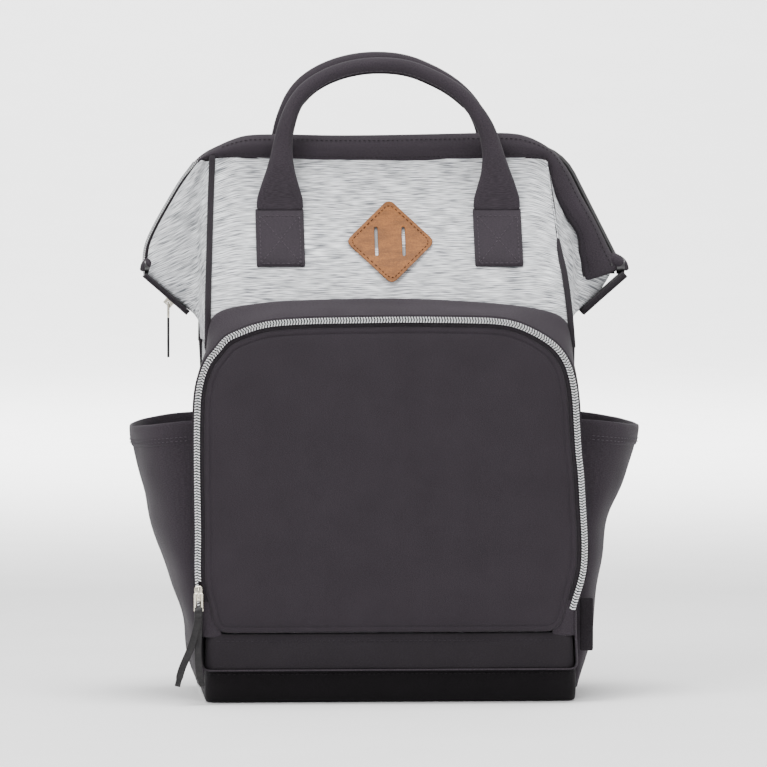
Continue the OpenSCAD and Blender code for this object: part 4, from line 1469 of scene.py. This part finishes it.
def bottle_pocket(side, word, bulges):
    """One bottle pocket, still bulged by what it held, with its hem and stitches"""
    angles = [math.radians(-90 + 180 * i / 32) for i in range(33)]

    def place(z, a, grow=0.0):
        c = max(0, math.cos(a)) ** 0.6
        pleat = 0
        if z < 185:
            pleat = 1.5 * math.sin(z / 8.5 + 1.4 * side) * math.sin(math.pi * z / 190) * c
        x = HALF_W + 1.0 + (smooth_value(bulges, z) + grow + pleat) * c
        y = (66 + grow * 0.5) * math.sin(a)
        rise = (4.5 - 7 * math.cos(a)) * (z / 208) ** 4
        return (side * (x + crease(x, y, z, 1.0, 28) * c), y, z + rise)

    heights = (9, 12, 16, 24, 34, *range(46, 179, 12), 188, 196)
    rows = [[place(z, a) for a in angles] for z in heights]
    cloth = sheet_mesh(f"{word}_bottle_pocket_cloth", rows, finish("canvas"), away=(0, 0, 100))
    dress(thicken(cloth, 1.6, 1, offset=0), "shell", "charcoal_fabric", f"{word}_bottle_pocket")
    turned = ((191.6, 0.9), (191, 1.5), (196, 1.7), (203, 1.7), (206.6, 1.5), (207.6, 0.5),
              (206.8, -0.8), (200, -1.4), (193, -1.2))
    rows = [[place(z, a, grow) for a in angles] for z, grow in turned]
    hem = sheet_mesh(f"{word}_pocket_hem_cloth", rows, finish("canvas"), away=(0, 0, 150))
    dress(thicken(hem, 0.7, 1, offset=0), "shell", "charcoal_fabric", f"{word}_pocket_hem")
    runs = [[Vector(place(z, a, 2.2)) for a in angles[1:-1]] for z in (193.6, 196.2)]
    thread = stitches(f"{word}_pocket_hem_stitches", runs, finish("thread"), out=(side, 0, 0),
                      radius=0.8)
    dress(thread, "shell", "charcoal_fabric")


def side_label():
    """The blank folded tape in the pocket's right seam"""
    rows = []
    for z in (38.6, 41, 48, 58, 68, 76, 78.6):
        curl = 0.9 * math.sin((z - 40) / 36 * math.pi)
        rows.append([(x, -84.6 - curl * (x - 144.6) / 7, z) for x in (141.4, 144, 146.8, 149.4, 151.6)])
    tape = thicken(sheet_mesh("side_label_tape", rows, finish("zip_tape")), 1.0, 1)
    dress(tape, "shell", "label_tape", "side_label")


class BACKPACK_OT_sides(bpy.types.Operator):
    """Builds the bottle pockets, their hems and the blank side label"""

    bl_idname = "backpack.sides"
    bl_label = "Bottle Pockets"
    bl_options = {"REGISTER", "UNDO"}

    def execute(self, context):
        bottle_pocket(-1, "left", LEFT_BULGE)
        bottle_pocket(1, "right", RIGHT_BULGE)
        side_label()
        return {"FINISHED"}


# ---------------------------------------------------------------- handles


def handle_path(sign, rise):
    """The middle line of a handle, which leans back towards the mouth as it climbs"""
    line = []
    for x, z in HANDLE_LINE:
        up = (z - 369.5) / 108
        y = PIVOT_Y - 0.6 - 8.6 * min(1, up * 1.3)
        line.append((x, sign * y, z + rise * min(1, up * 1.6)))
    return spline(line, 96)


def handle(sign, place, rise):
    """One handle: flat at its ends and round along the top, with a seam under it"""
    path = handle_path(sign, rise)
    total = sum((b - a).length for a, b in zip(path, path[1:]))

    def section(share):
        near = min(share, 1 - share) * total
        wide = table_value([(0, 35.4), (9, 35.4), (18, 30), (30, 22.5), (42, 17), (56, 14),
                            (80, 12), (110, 11.4)], near)
        deep = table_value([(0, 3), (8, 4), (18, 7), (34, 10.5), (60, 11.6)], near)
        power = table_value([(0, 0.3), (12, 0.5), (34, 0.9), (50, 1.0)], near)
        return [(b, a) for a, b in oval(wide, deep, 22, power)]

    tube = rounded_off(sweep(f"{place}_handle_cloth", path, section, finish("canvas")), 1)
    dress(tube, f"{place}_grip", "charcoal_fabric", f"{place}_handle")
    handle_seam(sign, place, path[26:-26])


def handle_seam(sign, place, middle):
    """The seam and the stitches under a handle, along the middle line of its round part"""
    grip, last = f"{place}_grip", len(middle) - 1
    downs = []
    for i in range(len(middle)):
        along = (middle[min(i + 1, last)] - middle[max(i - 1, 0)]).normalized()
        downs.append(Vector((along.z, 0, -along.x)))
    seam = [p + down * 6.0 for p, down in zip(middle, downs)]
    ridge = sweep(f"{place}_handle_seam", seam,
                  lambda s: oval(3.4, 1.7 * math.sin(math.pi * s) ** 0.4 + 0.1, 8, 0.8),
                  finish("piping"))
    dress(ridge, grip, "charcoal_fabric")
    run = [p + down * 4.6 + Vector((0, sign * 3.9, 0)) for p, down in zip(middle, downs)][1:-1]
    thread = stitches(f"{place}_handle_stitches", [run], finish("thread"), out=(0, sign, 0),
                      radius=0.9)
    dress(thread, grip, "charcoal_fabric")


def handle_tab(sign, place, word, cx):
    """The boxed and crossed tab that sews a handle's end to the panel"""
    name = f"{place}_{word}_tab"
    rows = []
    for z in (326, 330, 336, 342, 348, 354, 360, 366, 369.4):
        row = []
        for x in (-18, -17.4, -12, -6, 0, 6, 12, 17.4, 18):
            from_edge = min(18 - abs(x), z - 326, 369.4 - z)
            out = 1.2 if from_edge <= 0 else 4.0 if from_edge > 0.5 else 3.2
            row.append(on_panel(sign, cx + x, z, out))
        rows.append(row)
    tab = thicken(sheet_mesh(f"{name}_cloth", rows, finish("canvas"), away=(0, 0, 200)), 1.2, 1,
                  offset=0)
    fold(tab, sign, "charcoal_fabric", f"{place}_handle_tabs")
    corners = [on_panel(sign, cx + x, z, 4.75)
               for x, z in ((-15, 329), (15, 329), (15, 364), (-15, 364))]
    lines = [even([a, b], 4) for a, b in zip(corners, corners[1:] + corners[:1])]
    lines += [[a.lerp(b, k / 8) for k in range(9)] for a, b in zip(corners[:2], corners[2:])]
    runs = [[on_panel(sign, p.x, p.z, 4.75) for p in line] for line in lines]
    sewn = stitches(f"{name}_stitches", runs, finish("thread"), out=(0, sign, 0.4))
    fold(sewn, sign, "charcoal_fabric")


class BACKPACK_OT_handles(bpy.types.Operator):
    """Builds the padded handles and their stitched tabs"""

    bl_idname = "backpack.handles"
    bl_label = "Handles"
    bl_options = {"REGISTER", "UNDO"}

    def execute(self, context):
        for sign, place, rise in ((-1, "front", 0), (1, "rear", 4.5)):
            handle(sign, place, rise)
            handle_tab(sign, place, "left", -81.4)
            handle_tab(sign, place, "right", 83)
        return {"FINISHED"}


# ---------------------------------------------------------------- patch


def diamond(grow):
    """The patch's outline about its own middle, with its corners rounded"""
    wide, tall, corner = 33.6 + grow, 31.6 + grow, 5.0
    points = [Vector(p) for p in ((0, tall), (-wide, 0), (0, -tall), (wide, 0))]
    out = []
    for i, here in enumerate(points):
        a = here + (points[i - 1] - here).normalized() * corner
        b = here + (points[(i + 1) % 4] - here).normalized() * corner
        out += [a.lerp(here, k / 6).lerp(here.lerp(b, k / 6), k / 6) for k in range(7)]
    return out


def slot_outline(x):
    """One of the patch's slots, with round ends"""
    out = []
    for start, z in ((0, 9.6), (math.pi, -9.6)):
        for k in range(9):
            a = start + math.pi * k / 8
            out.append((x + 1.7 * math.cos(a), z + 1.7 * math.sin(a)))
    return out


def cut_hide():
    """The patch cut flat, with soft edges, as a mesh in metres"""
    curve = bpy.data.curves.new("leather_patch", "CURVE")
    curve.dimensions = "2D"
    curve.fill_mode = "BOTH"
    curve.extrude = 0.75 * MM
    curve.bevel_depth = 0.45 * MM
    curve.bevel_resolution = 2
    for points in (diamond(-0.45), slot_outline(PATCH_SLOTS[0]), slot_outline(PATCH_SLOTS[1])):
        run = curve.splines.new("POLY")
        run.points.add(len(points) - 1)
        for target, p in zip(run.points, points):
            target.co = (p[0] * MM, p[1] * MM, 0, 1)
        run.use_cyclic_u = True
    drawn = bpy.data.objects.new("leather_patch_drawn", curve)
    bpy.context.scene.collection.objects.link(drawn)
    graph = bpy.context.evaluated_depsgraph_get()
    mesh = bpy.data.meshes.new_from_object(drawn.evaluated_get(graph))
    bpy.data.objects.remove(drawn)
    return mesh


def on_patch(x, z, out):
    """A point over the patch, given about the patch's middle"""
    return on_panel(-1, PATCH_X + x, PATCH_Z + z, out)


def patch_hide():
    """The cut patch, divided and laid over the front panel"""
    mesh = cut_hide()
    patch = bpy.data.objects.new("leather_patch_hide", mesh)
    bpy.context.scene.collection.objects.link(patch)
    mesh.materials.clear()
    mesh.materials.append(finish("tan_leather"))
    work = bmesh.new()
    work.from_mesh(mesh)
    bmesh.ops.remove_doubles(work, verts=work.verts, dist=1e-6)
    for _ in range(3):
        long_edges = [e for e in work.edges if e.calc_length() > 0.006]
        if long_edges:
            bmesh.ops.subdivide_edges(work, edges=long_edges, cuts=1)
            bmesh.ops.triangulate(work, faces=work.faces)
    for v in work.verts:
        flat = v.co / MM
        v.co = on_patch(flat.x, flat.y, 2.6 + flat.z) * MM
    bmesh.ops.recalc_face_normals(work, faces=work.faces)
    work.to_mesh(mesh)
    work.free()
    fold(patch, -1, "tan_leatherette", "leather_patch")


def patch_stitches():
    """The row of stitches along the patch's edge"""
    border = [on_patch(p.x, p.y, 3.9) for p in diamond(-3.2)]
    sewn = stitches("leather_patch_stitches", [border + border[:1]], finish("tan_thread"),
                    out=(0, -1, 0.5), radius=1.25)
    fold(sewn, -1, "tan_leatherette")


def patch_slot_back(x, number):
    """The pale cloth that shows through one slot"""
    rows = [[on_patch(x + dx, z, 1.5) for dx in (-2.4, 0, 2.4)] for z in range(-12, 13, 6)]
    back = sheet_mesh(f"leather_patch_slot_back_{number}", rows, finish("pale_tape"))
    fold(back, -1, "tan_leatherette")


class BACKPACK_OT_patch(bpy.types.Operator):
    """Builds the tan diamond patch with its two slots"""

    bl_idname = "backpack.patch"
    bl_label = "Leather Patch"
    bl_options = {"REGISTER", "UNDO"}

    def execute(self, context):
        patch_hide()
        patch_stitches()
        for number, x in enumerate(PATCH_SLOTS, 1):
            patch_slot_back(x, number)
        return {"FINISHED"}


# ---------------------------------------------------------------- back and straps


def back_pad():
    """The mesh-covered back pad, sewn into channels, with piping round it"""
    half_w, low, high = 123, 42, 260
    middle = Vector((0, (low + high) / 2))
    corners = [p + middle for p in reversed(rounded_box(half_w, (high - low) / 2, 22, 6))]
    outline = []
    for i, p in enumerate(corners):
        q = corners[(i + 1) % len(corners)]
        parts = max(1, round((q - p).length / 8))
        outline += [p.lerp(q, k / parts) for k in range(parts)]

    def quilted(x, z, share):
        across = max(0, 1 - abs(abs(x) - 40) / 4)
        level = max(0, 1 - abs(z - 150) / 4)
        return 0.7 * (1 - share) - 1.8 * across - 1.8 * level

    edge = ((0.8, 0.8), (0, 3), (0.6, 6), (3, 8))
    pad = filled_outline("back_pad_cloth", outline, [(depth, HALF_D + y) for depth, y in edge],
                         finish("spacer_mesh"), quilted)
    dress(rounded_off(outward(pad), 2), "shell", "padded_back", "back_pad")
    rim = [(p.x, HALF_D + 2.4, p.y) for p in inset(outline, -0.4)]
    trim = sweep("back_pad_piping", rim, lambda s: oval(3.2, 3.2, 8), finish("piping"), closed=True)
    dress(trim, "shell", "black_trim")


def strap_yoke():
    """The panel that the straps are sewn to, with two rows of stitches"""
    low, high = (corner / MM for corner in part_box("strap_yoke"))
    rows = []
    for j in range(7):
        y = high.y - 1.0 + 0.8 * math.sin(math.pi * j / 6)
        z = low.z + (high.z - low.z) * j / 6
        rows.append([(high.x * (i / 15 - 1), y, z) for i in range(31)])
    yoke = thicken(sheet_mesh("strap_yoke_cloth", rows, finish("canvas")), 3.2, 1, offset=0)
    dress(yoke, "shell", "charcoal_fabric", "strap_yoke")
    runs = [[(x, high.y + 1.7, z) for x in range(-90, 91, 6)] for z in (low.z + 4, high.z - 4)]
    thread = stitches("strap_yoke_stitches", runs, finish("thread"), out=(0, 1, 0))
    dress(thread, "shell", "charcoal_fabric")


def shoulder_strap(side, word):
    """One padded strap, bowed away from the back, with its bindings and webbing"""
    low, high = (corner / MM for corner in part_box(f"{word}_strap_pad"))
    half = (high.x - low.x) / 2
    chord, bow = 154.0, 24.0
    radius = ((chord / 2) ** 2 + bow ** 2) / (2 * bow)
    middle = Vector(((low.x + high.x) / 2, high.y - radius - 4.5, 173.0))
    swing = math.asin(chord / 2 / radius) * 0.985
    rays = [Vector((0, math.cos(a), math.sin(a)))
            for a in (swing * (k / 20 - 1) for k in range(41))]
    arc = [middle + ray * radius for ray in rays]

    def narrow(share):
        return 1 - 0.3 * max(0, 1 - share / 0.14) ** 2

    def section(share):
        flat = min(1, share / 0.06, (1 - share) / 0.05)
        return oval(half * 2 * narrow(share) - 3, 2.6 + 3.6 * max(0, flat), 20, 0.42)

    pad = sweep(f"{word}_strap_pad_cloth", arc, section, finish("spacer_mesh"), up=(1, 0, 0))
    puff(pad, 4.0, 3.0)
    dress(pad, "shell", "charcoal_fabric", f"{word}_strap_pad")
    for edge in (-1, 1):
        trim = [p + Vector((edge * (half * narrow(k / 40) - 1.0), 0, 0)) for k, p in enumerate(arc)]
        binding = sweep(f"{word}_strap_binding_{'inner' if edge * side < 0 else 'outer'}", trim,
                        lambda s: oval(3.6, 6.4, 10, 0.7), finish("piping"), up=(1, 0, 0))
        dress(binding, "shell", "black_trim")
    band = [p + ray * 4.6 for p, ray in zip(arc, rays)][1:-1]
    strip = sweep(f"{word}_strap_top_webbing", band, lambda s: oval(25, 1.4, 12, 0.3),
                  finish("webbing"), up=(1, 0, 0))
    dress(strip, "shell", "webbing")
    for node in (f"{word}_strap_loop", f"{word}_webbing", f"{word}_webbing_tail"):
        refinish(node, "webbing")
    refinish(f"{word}_adjuster", "plastic")


class BACKPACK_OT_back(bpy.types.Operator):
    """Builds the padded back, the shoulder straps and their hardware"""

    bl_idname = "backpack.back"
    bl_label = "Back and Straps"
    bl_options = {"REGISTER", "UNDO"}

    def execute(self, context):
        back_pad()
        strap_yoke()
        for side, word in SIDES:
            shoulder_strap(side, word)
        refinish("strap_anchors", "canvas_plain")
        return {"FINISHED"}


OPERATORS = [
    BACKPACK_OT_stage, BACKPACK_OT_base, BACKPACK_OT_walls, BACKPACK_OT_upper, BACKPACK_OT_mouth,
    BACKPACK_OT_pocket, BACKPACK_OT_sides, BACKPACK_OT_handles, BACKPACK_OT_patch,
    BACKPACK_OT_back,
]


class BACKPACK_PT_panel(bpy.types.Panel):
    """Lists the backpack's settings and pieces"""

    bl_idname = "BACKPACK_PT_panel"
    bl_label = "Diaper Backpack"
    bl_space_type = "VIEW_3D"
    bl_region_type = "UI"
    bl_category = "Backpack"

    def draw(self, context):
        for group in ("backpack_cloth", "backpack_sewing", "backpack_stage"):
            settings = getattr(context.scene, group)
            box = self.layout.box()
            for key in settings.bl_rna.properties.keys():
                if key not in ("rna_type", "name"):
                    box.prop(settings, key)
        for operator in OPERATORS:
            self.layout.operator(operator.bl_idname)


SETTINGS = {
    "backpack_cloth": ClothSettings,
    "backpack_sewing": SewingSettings,
    "backpack_stage": StageSettings,
}


def register():
    for name, group in SETTINGS.items():
        bpy.utils.register_class(group)
        setattr(bpy.types.Scene, name, PointerProperty(type=group))
    for operator in OPERATORS:
        bpy.utils.register_class(operator)
    bpy.utils.register_class(BACKPACK_PT_panel)


def unregister():
    bpy.utils.unregister_class(BACKPACK_PT_panel)
    for operator in reversed(OPERATORS):
        bpy.utils.unregister_class(operator)
    for name, group in SETTINGS.items():
        delattr(bpy.types.Scene, name)
        bpy.utils.unregister_class(group)


def main():
    register()
    for operator in OPERATORS:
        category, name = operator.bl_idname.split(".")
        getattr(getattr(bpy.ops, category), name)()


if __name__ == "__main__":
    main()
